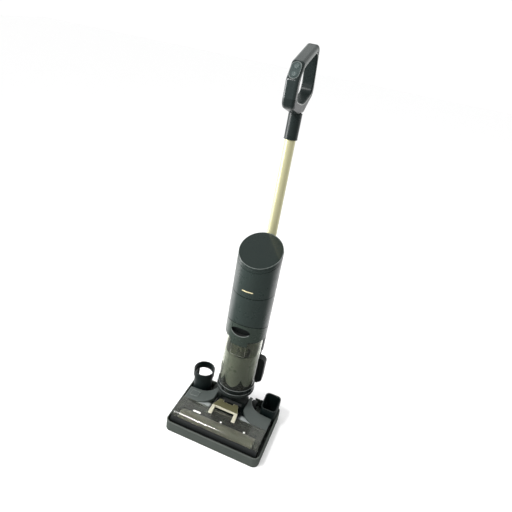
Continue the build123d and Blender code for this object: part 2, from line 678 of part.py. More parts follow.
def motor_pulley():
    """Motor shaft with its small pulley."""
    shaft = rod_x(MOTOR_Y, ROLLER_Z, MOTOR_SHAFT_RADIUS, BASE_INNER - SHAFT_DEPTH + GAP, BELT_X1)
    return shaft + rod_x(MOTOR_Y, ROLLER_Z, MOTOR_PULLEY_RADIUS, BELT_X0, BELT_X1)


def drive_belt():
    """Flat belt around both pulleys."""
    loop = belt_path(GAP + BELT_THICK) - belt_path(GAP)
    return side_prism(loop, BELT_X0, BELT_X1)


def recline_pin():
    """Steel pin through the ears and the neck."""
    reach = EAR_INNER + EAR_THICK
    return rod_x(PIVOT_Y, PIVOT_Z, PIN_RADIUS, -reach, reach)


def wheel_axle(sign):
    """Axle of one rear wheel."""
    inner = sign * (REAR_HALF - AXLE_GRIP)
    outer = sign * (WHEEL_INNER + WHEEL_WIDTH + AXLE_PROUD)
    return rod_x(WHEEL_Y, WHEEL_Z, AXLE_RADIUS, min(inner, outer), max(inner, outer))


def wheel(sign):
    """Rear wheel with a rounded tread, a hub that meets the head and a dished outer face."""
    near = sign * WHEEL_INNER
    far = sign * (WHEEL_INNER + WHEEL_WIDTH)
    tread = rod_x(WHEEL_Y, WHEEL_Z, WHEEL_RADIUS, min(near, far), max(near, far))
    tread = fillet(tread.edges().filter_by(GeomType.CIRCLE), TREAD_ROUND)
    dish = sign * (WHEEL_INNER + WHEEL_WIDTH - DISH_DEPTH)
    tread -= rod_x(WHEEL_Y, WHEEL_Z, WHEEL_RADIUS - TREAD_RIM, min(dish, 2 * far), max(dish, 2 * far))
    hub_near = sign * (REAR_HALF + GAP)
    hub_far = sign * (WHEEL_INNER + WHEEL_WIDTH - WHEEL_HUB_SUNK)
    tread += rod_x(WHEEL_Y, WHEEL_Z, WHEEL_HUB_RADIUS, min(hub_near, hub_far), max(hub_near, hub_far))
    return tread - rod_x(WHEEL_Y, WHEEL_Z, AXLE_RADIUS + RUN_FIT, -HEAD_HALF, HEAD_HALF)


def roller_button():
    """Square button on the left lobe that frees the roller."""
    low = BASE_TOP + COVER_SKIN + KEY_TRAVEL + GAP
    key = key_block(0, low, 2 * LOBE_HIGH)
    return key - Pos(0, 0, KEY_PROUD) * lobe_slope()


# Roller

def roller_core():
    """Tube that carries the pile."""
    reach = ROLLER_LENGTH / 2 - CAP_THICK
    tube = rod_x(ROLLER_Y, ROLLER_Z, CORE_RADIUS, -reach, reach)
    return tube - rod_x(ROLLER_Y, ROLLER_Z, CORE_RADIUS - CORE_WALL, -HEAD_HALF, HEAD_HALF)


def roller_pile():
    """Thick soft sleeve of the roller."""
    reach = ROLLER_LENGTH / 2 - CAP_THICK
    sleeve = rod_x(ROLLER_Y, ROLLER_Z, PILE_RADIUS, -reach, reach)
    sleeve = fillet(sleeve.edges().filter_by(GeomType.CIRCLE), PILE_ROUND)
    return sleeve - rod_x(ROLLER_Y, ROLLER_Z, CORE_RADIUS + SEAT, -HEAD_HALF, HEAD_HALF)


def roller_cap(sign, hub_end):
    """End cap of the roller with a plug and a stub shaft."""
    inner = ROLLER_LENGTH / 2 - CAP_THICK
    disc = rod_x(ROLLER_Y, ROLLER_Z, PILE_RADIUS - CAP_INSET, inner, ROLLER_LENGTH / 2)
    disc += rod_x(ROLLER_Y, ROLLER_Z, CORE_RADIUS - CORE_WALL - SEAT, inner - CAP_PLUG, inner)
    disc += rod_x(ROLLER_Y, ROLLER_Z, HUB_RADIUS, ROLLER_LENGTH / 2, hub_end)
    return disc if sign > 0 else mirror(disc, Plane.YZ)


def drive_pulley():
    """Pulley on the roller's right stub."""
    pulley = rod_x(ROLLER_Y, ROLLER_Z, DRIVE_PULLEY_RADIUS, BELT_X0, BELT_X1)
    return pulley - rod_x(ROLLER_Y, ROLLER_Z, HUB_RADIUS + SEAT, BELT_X0 - OVER, BELT_X1 + OVER)


# Window

def window_cover():
    """Clear cover over the roller, curved at the front and sloping behind."""
    o_tip, o_mid, o_crest, o_rear = window_line(WINDOW_OUTER)
    i_tip, i_mid, i_crest, i_rear = window_line(WINDOW_INNER)
    outer = ThreePointArc(o_tip, o_mid, o_crest) + Line(o_crest, o_rear)
    inner = ThreePointArc(i_tip, i_mid, i_crest) + Line(i_crest, i_rear)
    ends = Line(o_tip, i_tip) + Line(o_rear, i_rear)
    return side_prism(make_face(outer + inner + ends), -HEAD_HALF, HEAD_HALF)


def window_height(y):
    """Height of the window's outer face at a place on its sloping part."""
    tip, middle, crest, rear = window_line(WINDOW_OUTER)
    return crest[1] - (y - crest[0]) * tan(radians(WINDOW_SLOPE))


def window_handle():
    """Gold bridge handle: two legs on the window and a bar with a finger notch behind."""
    foot_rear = COVER_FRONT - GOLD_FOOT_INSET
    tip_z = window_height(GOLD_TIP_Y)
    side = Polyline((GOLD_BAR_REAR, GOLD_BOTTOM), (GOLD_BAR_REAR, GOLD_TOP),
                    (GOLD_BAR_FRONT, GOLD_TOP + GOLD_CROWN), (GOLD_TIP_Y, tip_z + GOLD_TIP_THICK),
                    (GOLD_TIP_Y, tip_z), (foot_rear, window_height(foot_rear)),
                    (foot_rear + GOLD_KNEE, GOLD_BOTTOM), close=True)
    bridge = side_prism(make_face(side), -GOLD_TIP_HALF, GOLD_TIP_HALF)
    plan = Polyline((GOLD_TIP_HALF, GOLD_TIP_Y), (GOLD_BAR_HALF, GOLD_BAR_FRONT),
                    (GOLD_REAR_HALF, GOLD_BAR_REAR), (-GOLD_REAR_HALF, GOLD_BAR_REAR),
                    (-GOLD_BAR_HALF, GOLD_BAR_FRONT), (-GOLD_TIP_HALF, GOLD_TIP_Y), close=True)
    bridge &= extrude(make_face(plan), 2 * GOLD_TOP)
    inner = GOLD_BAR_HALF - GOLD_LEG
    bridge -= slab(-inner, inner, GOLD_TIP_Y - OVER, GOLD_BAR_FRONT, 0, 2 * GOLD_TOP)
    return bridge - slab(-LATCH_HALF, LATCH_HALF, GOLD_BAR_REAR - LATCH_DEPTH, BIG, 0, 2 * GOLD_TOP)


def window_latch():
    """Black release button in the notch of the gold handle."""
    button = slab(-LATCH_HALF + GAP, LATCH_HALF - GAP, GOLD_BAR_REAR - LATCH_DEPTH + GAP, GOLD_BAR_REAR,
                  GOLD_BOTTOM, GOLD_TOP - LATCH_SUNK)
    return fillet(button.edges().filter_by(Axis.Z), LATCH_ROUND)


# Neck

def neck_yoke():
    """Barrel on the recline pin and a socket for the swivel."""
    barrel = rod_x(0, 0, BARREL_RADIUS, -EAR_INNER + GAP, EAR_INNER - GAP)
    neck = Pos(0, 0, SOCKET_BOTTOM / 2) * Cone(BARREL_RADIUS, SOCKET_RADIUS, SOCKET_BOTTOM)
    yoke = barrel + neck + rod_z(0, 0, SOCKET_RADIUS, SOCKET_BOTTOM, SOCKET_TOP)
    yoke -= rod_z(0, 0, SPIGOT_RADIUS + RUN_FIT, SPIGOT_BOTTOM - GAP, SOCKET_TOP + OVER)
    yoke -= rod_x(0, 0, PIN_RADIUS + RUN_FIT, -HEAD_HALF, HEAD_HALF)
    return BODY * yoke


# Body frame

def recline_room():
    """Space under the rear of the body that stays free for the recline."""
    rise = PLATFORM_BOTTOM + UNDERCUT_RISE
    outline = Polyline((CRADLE_FRONT, PLATFORM_BOTTOM), (CRADLE_REAR, rise), (BIG, rise), (BIG, 0),
                       (CRADLE_FRONT, 0), close=True)
    return side_prism(make_face(outline), -BIG / 2, BIG / 2)


def cradle():
    """Platform under the tank with the swivel spigot and a broad rest behind the tank."""
    rest = Polyline((-CRADLE_FOOT_HALF, PLATFORM_BOTTOM), (-CRADLE_HALF, CRADLE_SHOULDER),
                    (-CRADLE_HALF, CRADLE_TOP), (CRADLE_HALF, CRADLE_TOP), (CRADLE_HALF, CRADLE_SHOULDER),
                    (CRADLE_FOOT_HALF, PLATFORM_BOTTOM), close=True)
    face = make_face(rest)
    face = fillet(face.vertices().group_by(Axis.Y)[-1], CRADLE_CORNER)
    wall = Pos(0, CRADLE_REAR, 0) * extrude(Plane.XZ * face, CRADLE_REAR - CRADLE_FRONT)
    wall -= rod_z(0, 0, BODY_RADIUS + GAP, PLATFORM_TOP, BIG)
    wall -= slab(-SPINE_HALF - SEAT, SPINE_HALF + SEAT, SPINE_FRONT, BIG, PLATFORM_TOP, BIG)
    plate = rod_z(0, 0, PLATFORM_RADIUS, PLATFORM_BOTTOM, PLATFORM_TOP) + wall - recline_room()
    return BODY * (plate + rod_z(0, 0, SPIGOT_RADIUS, SPIGOT_BOTTOM, PLATFORM_BOTTOM))


def spine():
    """Flat back plate that joins the cradle, the housings and the tube socket."""
    plate = slab(-SPINE_HALF, SPINE_HALF, SPINE_FRONT, SPINE_FRONT + SPINE_THICK, PLATFORM_TOP, SPINE_TOP)
    return BODY * (plate - recline_room())


def behind_body():
    """Everything behind the front face of the spine."""
    return slab(-BIG, BIG, SPINE_FRONT, BIG, -BIG, 2 * BIG)


def back_wall_space():
    """Everything from the inside of the housings' flat back wall to the rear."""
    return slab(-BIG, BIG, SPINE_FRONT - HOUSING_WALL, BIG, -BIG, 2 * BIG)


def mid_housing():
    """Housing between the dirty tank and the body seam, with a deck for the fan."""
    shell = rod_z(0, 0, BODY_RADIUS, CUP_TOP, SEAM)
    shell &= above(LID_LEVEL + GAP, -LID_TILT)
    room = rod_z(0, 0, HOUSING_INNER, CUP_TOP, SEAM - HOUSING_WALL) - back_wall_space()
    room &= above(LID_LEVEL + GAP + HOUSING_WALL, -LID_TILT)
    shell -= room
    shell -= rod_z(0, 0, FAN_INLET, SEAM - 2 * HOUSING_WALL, SEAM + OVER)
    return BODY * (shell - behind_body())


def upper_housing():
    """Housing from the body seam up to the sloping display."""
    shell = rod_z(0, 0, BODY_RADIUS, SEAM, DISPLAY + BODY_RADIUS)
    shell -= rod_z(0, 0, HOUSING_INNER, SEAM - OVER, BIG) - back_wall_space()
    shell -= above(DISPLAY - RING_DEPTH, DISPLAY_TILT)
    return BODY * (shell - behind_body())


def tilted_slice(radius, low, high):
    """Slice of an upright cylinder between two planes that slope like the display."""
    block = rod_z(0, 0, radius, DISPLAY - BODY_RADIUS, DISPLAY + BODY_RADIUS)
    return (block & above(DISPLAY + low, DISPLAY_TILT)) - above(DISPLAY + high, DISPLAY_TILT)


def bezel_ring():
    """Stack of two bands and two grooves under the display."""
    groove = BODY_RADIUS - RING_GROOVE
    ring = tilted_slice(groove, -RING_DEPTH, -RING_DEPTH + RING_SLIT)
    ring += tilted_slice(BODY_RADIUS, -RING_DEPTH + RING_SLIT, -RING_TOP_BAND - RING_SLIT)
    ring += tilted_slice(groove, -RING_TOP_BAND - RING_SLIT, -RING_TOP_BAND)
    ring += tilted_slice(BODY_RADIUS, -RING_TOP_BAND, 0)
    ring -= tilted_slice(LENS_RADIUS + SEAT, -LENS_THICK, OVER)
    return BODY * (ring - rod_z(0, 0, BODY_RADIUS - RING_WALL, -BIG, 2 * BIG))


def display_lens():
    """Dark glossy disc that covers the sloping top."""
    return BODY * tilted_slice(LENS_RADIUS, -LENS_THICK, 0)


def fan_motor():
    """Suction fan and motor on the deck of the middle housing."""
    fan = rod_z(0, 0, FAN_RADIUS, SEAM, SEAM + FAN_BASE)
    return BODY * (fan + rod_z(0, 0, FAN_CAN_RADIUS, SEAM + FAN_BASE, SEAM + FAN_BASE + FAN_CAN))


def battery_pack():
    """Battery fixed under the deck of the middle housing."""
    deck = SEAM - HOUSING_WALL
    pack = slab(-BATTERY_HALF, BATTERY_HALF, -BATTERY_DEPTH / 2, BATTERY_DEPTH / 2,
                deck - BATTERY_HEIGHT, deck)
    return BODY * fillet(pack.edges().filter_by(Axis.Z), BATTERY_ROUND)


def water_pump():
    """Small pump beside the battery."""
    deck = SEAM - HOUSING_WALL
    return BODY * rod_z(PUMP_X, 0, PUMP_RADIUS, deck - PUMP_HEIGHT, deck)


def main_board():
    """Round circuit board on top of the fan motor."""
    level = SEAM + FAN_BASE + FAN_CAN
    return BODY * rod_z(0, 0, BOARD_RADIUS, level, level + BOARD_THICK)


def tube_socket():
    """Block on top of the spine that narrows to a collar around the tube."""
    middle = (SPINE_FRONT + CLEAN_REAR) / 2
    depth = CLEAN_REAR - SPINE_FRONT
    collar = TUBE_RADIUS + SOCKET_WALL
    base = RectangleRounded(2 * SPINE_HALF, depth, CLEAN_CORNER)
    low = Pos(0, middle, SPINE_TOP) * base
    waist = Pos(0, middle, SPINE_TOP + SOCKET_SHOULDER) * base
    high = Pos(0, TUBE_OFFSET, SPINE_TOP + SOCKET_HEIGHT) * RectangleRounded(
        2 * collar, 2 * collar - SOCKET_FLAT, collar - SOCKET_FLAT)
    block = loft([low, waist], ruled=True) + loft([waist, high], ruled=True)
    return BODY * (block - tube_bore() - slab(-BIG, BIG, -BIG, SPINE_FRONT, 0, 2 * BIG))


def tube_bore():
    """Bore that holds the tube in its socket."""
    return rod_z(0, TUBE_OFFSET, TUBE_RADIUS + SEAT, TUBE_BOTTOM, 2 * BIG)


def tube():
    """Champagne tube from the socket to the handle."""
    pipe = rod_z(0, TUBE_OFFSET, TUBE_RADIUS, TUBE_BOTTOM, TUBE_TOP)
    return BODY * (pipe - rod_z(0, TUBE_OFFSET, TUBE_RADIUS - TUBE_WALL, TUBE_BOTTOM - OVER, TUBE_TOP + OVER))


def neck_sleeve():
    """Dark sleeve between the tube and the handle."""
    sleeve = rod_z(0, TUBE_OFFSET, SLEEVE_RADIUS, SLEEVE_BOTTOM, HANDLE_BOTTOM)
    sleeve = chamfer(sleeve.edges().sort_by(Axis.Z)[0], EDGE_BREAK)
    return BODY * (sleeve - rod_z(0, TUBE_OFFSET, TUBE_RADIUS + SEAT, SLEEVE_BOTTOM - OVER, TUBE_TOP))


# Handle

def handle_points(points):
    """Handle points, measured from the tube axis and the sleeve top, in the body's side plane."""
    return [(TUBE_OFFSET + back, HANDLE_BOTTOM + up) for back, up in points]


def handle_loop():
    """Closed loop handle with a sloping top and a flat facet for the buttons."""
    outer = handle_points([
        (-SLEEVE_RADIUS, 0), (-STRUT_FRONT, STRUT_KNEE), (-STRUT_FRONT, FACET_LOW),
        (-STRUT_FRONT + FACET_RUN, FACET_HIGH), (APEX_BACK, APEX_HIGH), (GRIP_BACK, GRIP_HIGH),
        (GRIP_BACK, GRIP_LOW), (SLEEVE_RADIUS, 0)])
    inner_front = -STRUT_FRONT + STRUT_THICK
    inner = handle_points([
        (HOLE_FLOOR_BACK, HOLE_FLOOR), (inner_front, HOLE_KNEE), (inner_front, HOLE_BEND),
        (inner_front + HOLE_BEND_RUN, HOLE_BEND_TOP), (APEX_BACK - TOP_END, APEX_HIGH - TOP_THICK),
        (GRIP_BACK - GRIP_THICK, GRIP_HOLE_HIGH), (GRIP_BACK - GRIP_THICK_LOW, GRIP_HOLE_LOW)])
    loop = make_face(FilletPolyline(*outer, radius=LOOP_ROUNDS, close=True))
    hole = make_face(FilletPolyline(*inner, radius=HOLE_ROUNDS, close=True))
    bar = side_prism(loop, -HANDLE_HALF, HANDLE_HALF)
    rims = bar.faces().filter_by(Axis.X).edges()
    bar = fillet(rims.filter_by(lambda edge: edge.center().Z > HANDLE_BOTTOM + OVER), HANDLE_ROUND)
    bar -= side_prism(hole, -HANDLE_HALF - OVER, HANDLE_HALF + OVER)
    flanks = bar.faces().filter_by(Axis.X)
    hole_rims = [edge for face in flanks for wire in face.inner_wires() for edge in wire.edges()]
    return fillet(hole_rims, HOLE_EDGE_ROUND)


def facet_place():
    """Frame on the middle of the button facet, with its Z pointing out of the handle."""
    low = handle_points([(-STRUT_FRONT, FACET_LOW)])[0]
    high = handle_points([(-STRUT_FRONT + FACET_RUN, FACET_HIGH)])[0]
    run = high[0] - low[0]
    rise = high[1] - low[1]
    middle = (0, (low[0] + high[0]) / 2, (low[1] + high[1]) / 2)
    return Plane(origin=middle, x_dir=(1, 0, 0), z_dir=(0, -rise, run)).location


def pod_block(play, low, high):
    """Pill shaped block on the facet."""
    pill = SlotOverall(POD_LENGTH + 2 * play, 2 * (POD_HALF + play), 90)
    return facet_place() * Pos(0, 0, low) * extrude(pill, high - low)


def button_block(place, play, low, high):
    """Round block at one of the two button places on the facet."""
    return facet_place() * Pos(0, place * BUTTON_PITCH / 2, (low + high) / 2) * Cylinder(
        BUTTON_RADIUS + play, high - low)


def handle_region():
    """The part of the loop that belongs to the front shell."""
    seam = HANDLE_BOTTOM + HANDLE_SEAM
    return slab(-BIG, BIG, -BIG, TUBE_OFFSET + HANDLE_SPLIT, seam, seam + BIG)


def handle_front():
    """Front strut and sloping top, with a seat for the button pod."""
    shell = handle_loop() & handle_region()
    shell -= pod_block(SEAT, POD_PROUD - POD_THICK, BIG / 10)
    well_floor = BUTTON_PROUD + POD_PROUD - BUTTON_HEIGHT - BUTTON_TRAVEL - GAP
    for place in (-1, 1):
        shell -= button_block(place, GAP, well_floor, BIG / 10)
    return BODY * shell


def handle_rear():
    """Rear grip and the foot of the loop."""
    return BODY * (handle_loop() - handle_region())


def button_pod():
    """Pill shaped bezel around the two buttons."""
    pod = pod_block(0, POD_PROUD - POD_THICK, POD_PROUD)
    for place in (-1, 1):
        pod -= button_block(place, GAP, -BIG / 10, BIG / 10)
    return BODY * pod


def handle_button(place):
    """Round push button in the pod."""
    top = POD_PROUD + BUTTON_PROUD
    return BODY * button_block(place, 0, top - BUTTON_HEIGHT, top)


# Dirty water tank

def tank_cup():
    """Clear smoked cup."""
    cup = rod_z(0, 0, CUP_RADIUS, CUP_BOTTOM, CUP_TOP)
    return BODY * (cup - rod_z(0, 0, CUP_INNER, CUP_FLOOR, CUP_TOP + OVER))


def tank_base():
    """Dark foot of the tank with a rim around the cup."""
    foot = rod_z(0, 0, TANK_BASE_RADIUS, TANK_BOTTOM, CUP_BOTTOM + TANK_BASE_RIM)
    foot = fillet(foot.edges().sort_by(Axis.Z)[-1], TANK_BASE_ROUND)
    foot = chamfer(foot.edges().sort_by(Axis.Z)[0], TANK_BASE_CHAMFER)
    foot -= rod_z(0, 0, CUP_RADIUS + SEAT, CUP_BOTTOM, BIG)
    return BODY * (foot - slab(-BIG, BIG, LID_FLAT, BIG, 0, BIG))


def petal_cup():
    """Dark liner in the cup whose upper edge rises to pointed petals."""
    outer = CUP_INNER - SEAT
    liner = rod_z(0, 0, outer, CUP_FLOOR, CUP_FLOOR + PETAL_HIGH)
    liner -= rod_z(0, 0, outer - PETAL_WALL, CUP_FLOOR + PETAL_WALL, BIG)
    half_angle = radians(180 / PETAL_COUNT)
    half_width = outer * sin(half_angle) + PETAL_CUSP
    arch = Pos(0, PETAL_HIGH) * Ellipse(half_width, PETAL_HIGH - PETAL_LOW)
    for turn in range(PETAL_COUNT // 2):
        cutter = Pos(0, CUP_RADIUS, CUP_FLOOR) * extrude(Plane.XZ * arch, 2 * CUP_RADIUS)
        liner -= Rot(0, 0, turn * 360 / PETAL_COUNT) * cutter
    return BODY * (liner - rod_z(0, PIPE_Y, PIPE_RADIUS + SEAT, 0, BIG))


def recess_block(half, height, y0, y1):
    """Oval block at the place of the finger recess."""
    oval = Pos(0, CUP_TOP + RECESS_RISE) * Ellipse(half, height / 2)
    return Pos(0, y1, 0) * extrude(Plane.XZ * oval, y1 - y0)


def tank_lid():
    """Lid with a sloping top, a plug in the cup, a front tab and an oval finger recess."""
    lid = rod_z(0, 0, BODY_RADIUS, CUP_TOP, LID_LEVEL + BODY_RADIUS) - above(LID_LEVEL, -LID_TILT)
    room = rod_z(0, 0, CUP_INNER - LID_PLUG_WALL, CUP_TOP - LID_PLUG, BIG)
    room -= above(LID_LEVEL - LID_TOP, -LID_TILT)
    plug = rod_z(0, 0, CUP_INNER - SEAT, CUP_TOP - LID_PLUG, CUP_TOP)
    tab = rod_z(0, 0, BODY_RADIUS - LID_TAB_INSET, CUP_TOP - LID_TAB_HEIGHT, CUP_TOP)
    tab -= rod_z(0, 0, CUP_RADIUS + SEAT, 0, CUP_TOP)
    tab &= slab(-LID_TAB_HALF, LID_TAB_HALF, -BIG, 0, 0, BIG)
    recess_rear = -BODY_RADIUS + RECESS_DEPTH
    wall_rear = recess_rear + LATCH_PAD_THICK + LATCH_PAD_TRAVEL + 2 * GAP
    backing_half = RECESS_HALF + HOUSING_WALL
    backing_low = CUP_TOP + RECESS_RISE - RECESS_HEIGHT / 2 - HOUSING_WALL
    backing = slab(-backing_half, backing_half, -BODY_RADIUS, wall_rear + HOUSING_WALL, backing_low, BIG)
    backing &= rod_z(0, 0, BODY_RADIUS - OVER, CUP_TOP, LID_LEVEL + BODY_RADIUS)
    backing -= above(LID_LEVEL - OVER, -LID_TILT)
    lid = lid + plug - room + tab + backing
    lid -= recess_block(RECESS_HALF, RECESS_HEIGHT, -2 * BODY_RADIUS, recess_rear)
    lid -= recess_block(LATCH_PAD_HALF + GAP, LATCH_PAD_HEIGHT + 2 * GAP, -2 * BODY_RADIUS, wall_rear)
    return BODY * (lid - slab(-BIG, BIG, LID_FLAT, BIG, 0, BIG))


def lid_latch():
    """Oval push pad at the back of the finger recess."""
    rear = -BODY_RADIUS + RECESS_DEPTH + LATCH_PAD_THICK
    return BODY * recess_block(LATCH_PAD_HALF, LATCH_PAD_HEIGHT, rear - LATCH_PAD_THICK, rear)


def strainer_box():
    """Clear box under the lid that catches coarse dirt, open at the top."""
    top = CUP_TOP - LID_PLUG
    box = slab(-STRAINER_HALF, STRAINER_HALF, -STRAINER_FRONT, -STRAINER_FRONT + STRAINER_DEPTH,
               top - STRAINER_HEIGHT, top)
    box = fillet(box.edges().filter_by(Axis.Z), STRAINER_ROUND)
    well_half = STRAINER_HALF - STRAINER_WALL
    well = slab(-well_half, well_half, -STRAINER_FRONT + STRAINER_WALL,
                -STRAINER_FRONT + STRAINER_DEPTH - STRAINER_WALL,
                top - STRAINER_HEIGHT + STRAINER_WALL, top + OVER)
    return BODY * (box - well)


def suction_pipe():
    """Upright pipe in the tank with a collar that the float rests on."""
    top = CUP_TOP - LID_PLUG
    pipe = rod_z(0, PIPE_Y, PIPE_RADIUS, CUP_FLOOR, top)
    seat = CUP_FLOOR + FLOAT_SEAT
    pipe += rod_z(0, PIPE_Y, PIPE_RADIUS + FLOAT_COLLAR, seat - FLOAT_COLLAR, seat)
    return BODY * (pipe - rod_z(0, PIPE_Y, PIPE_RADIUS - PIPE_WALL, CUP_FLOOR - OVER, top + OVER))


def tank_float():
    """Ring float that rides up the pipe when the tank is full."""
    low = CUP_FLOOR + FLOAT_SEAT + GAP
    ring = rod_z(0, PIPE_Y, FLOAT_RADIUS, low, low + FLOAT_HEIGHT)
    ring = fillet(ring.edges().filter_by(GeomType.CIRCLE), FLOAT_ROUND)
    return BODY * (ring - rod_z(0, PIPE_Y, PIPE_RADIUS + GAP, 0, BIG))


# Clean water tank

def clean_tank():
    """Flat tank on the back of the spine, hollow, with a filler neck behind."""
    middle = (CLEAN_FRONT + CLEAN_REAR) / 2
    face = Pos(0, middle, CLEAN_BOTTOM) * RectangleRounded(2 * SPINE_HALF, CLEAN_DEPTH, CLEAN_CORNER)
    room = Pos(0, middle, CLEAN_BOTTOM + CLEAN_WALL) * RectangleRounded(
        2 * (SPINE_HALF - CLEAN_WALL), CLEAN_DEPTH - 2 * CLEAN_WALL, CLEAN_CORNER - CLEAN_WALL)
    height = CLEAN_TOP - CLEAN_BOTTOM
    tank = extrude(face, height) - extrude(room, height - 2 * CLEAN_WALL)
    return BODY * (tank - rod_y(0, CLEAN_TOP - CAP_DROP, CAP_NECK_RADIUS + RUN_FIT, middle, BIG))


def clean_cap():
    """Turning filler cap with a plug in the tank's neck and a grip bar."""
    height = CLEAN_TOP - CAP_DROP
    cap = rod_y(0, height, CAP_RADIUS, CLEAN_REAR + GAP, CLEAN_REAR + GAP + CAP_HEIGHT)
    cap = chamfer(cap.edges().sort_by(Axis.Y)[-1], EDGE_BREAK)
    cap += rod_y(0, height, CAP_NECK_RADIUS, CLEAN_REAR + GAP - CAP_NECK_DEPTH, CLEAN_REAR + GAP)
    bar_half = CAP_RADIUS - CAP_BAR_INSET
    grip = slab(-bar_half, bar_half, CLEAN_REAR + GAP, CLEAN_REAR + GAP + CAP_HEIGHT + CAP_BAR_HEIGHT,
                height - CAP_BAR_HALF, height + CAP_BAR_HALF)
    return BODY * (cap + grip)


PARTS = {
    "dock_tray": dock_tray(),
    "dock_foot_left": foot_strip(-1),
    "dock_foot_right": foot_strip(1),
    "spare_holder": spare_holder(),
    "accessory_box": accessory_box(),
    "dock_inlet": dock_inlet(),
    "head_base": head_base(),
    "bottom_plate": bottom_plate(),
    "head_cover": head_cover(),
    "valley_panel": valley_panel(),
    "belt_cover": end_plate(1),
    "end_cover": end_plate(-1),
    "spray_bar": spray_bar(),
    "squeegee": squeegee(),
    "brush_motor": brush_motor(),
    "motor_pulley": motor_pulley(),
    "drive_belt": drive_belt(),
    "recline_pin": recline_pin(),
    "wheel_axle_left": wheel_axle(-1),
    "wheel_axle_right": wheel_axle(1),
    "wheel_left": wheel(-1),
    "wheel_right": wheel(1),
    "roller_button": roller_button(),
    "roller_core": roller_core(),
    "roller_pile": roller_pile(),
    "roller_cap_left": roller_cap(-1, CHEEK_INNER + CHEEK_WIDTH / 2),
    "roller_cap_right": roller_cap(1, BELT_X1),
    "drive_pulley": drive_pulley(),
    "window_cover": window_cover(),
    "window_handle": window_handle(),
    "window_latch": window_latch(),
    "neck_yoke": neck_yoke(),
    "cradle": cradle(),
    "spine": spine(),
    "mid_housing": mid_housing(),
    "upper_housing": upper_housing(),
    "bezel_ring": bezel_ring(),
    "display_lens": display_lens(),
    "fan_motor": fan_motor(),
    "battery_pack": battery_pack(),
    "water_pump": water_pump(),
    "main_board": main_board(),
    "tube_socket": tube_socket(),
    "tube": tube(),
    "neck_sleeve": neck_sleeve(),
    "handle_front": handle_front(),
    "handle_rear": handle_rear(),
    "button_pod": button_pod(),
    "power_button": handle_button(1),
    "mode_button": handle_button(-1),
    "tank_cup": tank_cup(),
    "tank_base": tank_base(),
    "petal_cup": petal_cup(),
    "tank_lid": tank_lid(),
    "lid_latch": lid_latch(),
    "strainer_box": strainer_box(),
    "suction_pipe": suction_pipe(),
    "tank_float": tank_float(),
    "clean_tank": clean_tank(),
    "clean_cap": clean_cap(),
}

os.makedirs("parts", exist_ok=True)
for name, part in PARTS.items():
    export_step(part, os.path.join("parts", name + ".step"))
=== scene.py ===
import json
from math import cos, pi, radians, sin, sqrt, tan

import bmesh
import bpy
from bpy.props import FloatProperty, FloatVectorProperty, IntProperty, PointerProperty
from mathutils import Matrix, Vector
from mathutils import noise as field


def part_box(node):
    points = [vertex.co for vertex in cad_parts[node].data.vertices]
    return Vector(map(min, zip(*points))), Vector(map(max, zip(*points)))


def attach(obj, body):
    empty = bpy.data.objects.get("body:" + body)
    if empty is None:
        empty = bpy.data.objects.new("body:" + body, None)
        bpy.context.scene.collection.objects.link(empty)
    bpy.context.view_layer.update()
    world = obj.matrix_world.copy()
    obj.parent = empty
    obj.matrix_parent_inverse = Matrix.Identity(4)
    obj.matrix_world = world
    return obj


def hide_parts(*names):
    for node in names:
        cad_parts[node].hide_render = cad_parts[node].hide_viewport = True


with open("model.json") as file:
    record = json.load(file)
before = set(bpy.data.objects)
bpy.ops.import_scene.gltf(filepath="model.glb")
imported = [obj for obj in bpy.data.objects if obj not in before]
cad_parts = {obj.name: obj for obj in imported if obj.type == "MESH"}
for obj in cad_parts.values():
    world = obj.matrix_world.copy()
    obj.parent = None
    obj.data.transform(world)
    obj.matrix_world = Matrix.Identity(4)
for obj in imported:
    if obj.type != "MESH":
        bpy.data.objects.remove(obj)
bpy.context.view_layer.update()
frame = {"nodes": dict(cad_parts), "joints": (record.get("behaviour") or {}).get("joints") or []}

bl_info = {
    "name": "Floor scrubber finish",
    "version": (1, 0, 0),
    "blender": (4, 5, 0),
    "location": "View3D > Sidebar > Scrubber",
    "description": "Dresses an upright floor scrubber in its dock with trim, finishes and a studio stage",
    "category": "Object",
}

NODES = frame["nodes"]
JOINTS = {joint["name"]: joint for joint in frame["joints"]}
MM = 0.001

# Sizes that the trim shares with the model. Lengths are in millimetres down to the stage, unless a
# comment says otherwise.
BODY_RADIUS = 60.0
SEAM_LEVEL = 400.0
LID_SEAM_LEVEL = 293.5
LID_TILT = radians(-16.7)
RECESS_LEVEL = 287.0
RECESS_HALF = (28.0, 13.5)
RECESS_REAR = -48.0
PAD_HALF = (19.5, 7.0)
ROLLER_AXIS = (-98.0, 29.9)
WINDOW_RADIUS = 28.0
WINDOW_HALF = 136.6
WINDOW_SLOPE = radians(5.0)
DISPLAY_LEVEL = 520.7
DISPLAY_TILT = radians(24.5)
CUP_INNER = 52.0
CUP_RANGE = (67.0, 248.0)
TUBE_OFFSET = 75.0
SLEEVE_RADIUS = 17.5
SLEEVE_RANGE = (812.0, 878.0)
HANDLE_HALF = 16.0
LOBE_SLOPE = 8.0 / 88.0
# The finger hole's rim on the flank, from the tube axis and the sleeve top
HOLE_RIM = ((-4, 21.5), (-79, 35), (-79, 90), (-63, 113.5), (45, 152), (66.5, 72), (64.5, 45))

# Thickness of each line against the thin one; some are moulded lines and some are painted highlights
LINE = {"sign": 0.7, "thin": 1.0, "notch": 1.1, "mark": 1.2, "foot": 1.3, "rim": 1.4, "lip": 1.5,
        "sleeve": 2.0}

# How the meshes are divided, and the direction that a bead's section is turned by
RING_STEPS = 96
SLEEVE_STEPS = 48
PILL_STEPS = 64
BEAD_SIDES = 10
BEAD_GUIDE = Vector((0.013, 0.11, 1))
CORNER_STEPS = 8
BEND_SHARE = 0.32
BEND_STEPS = 6
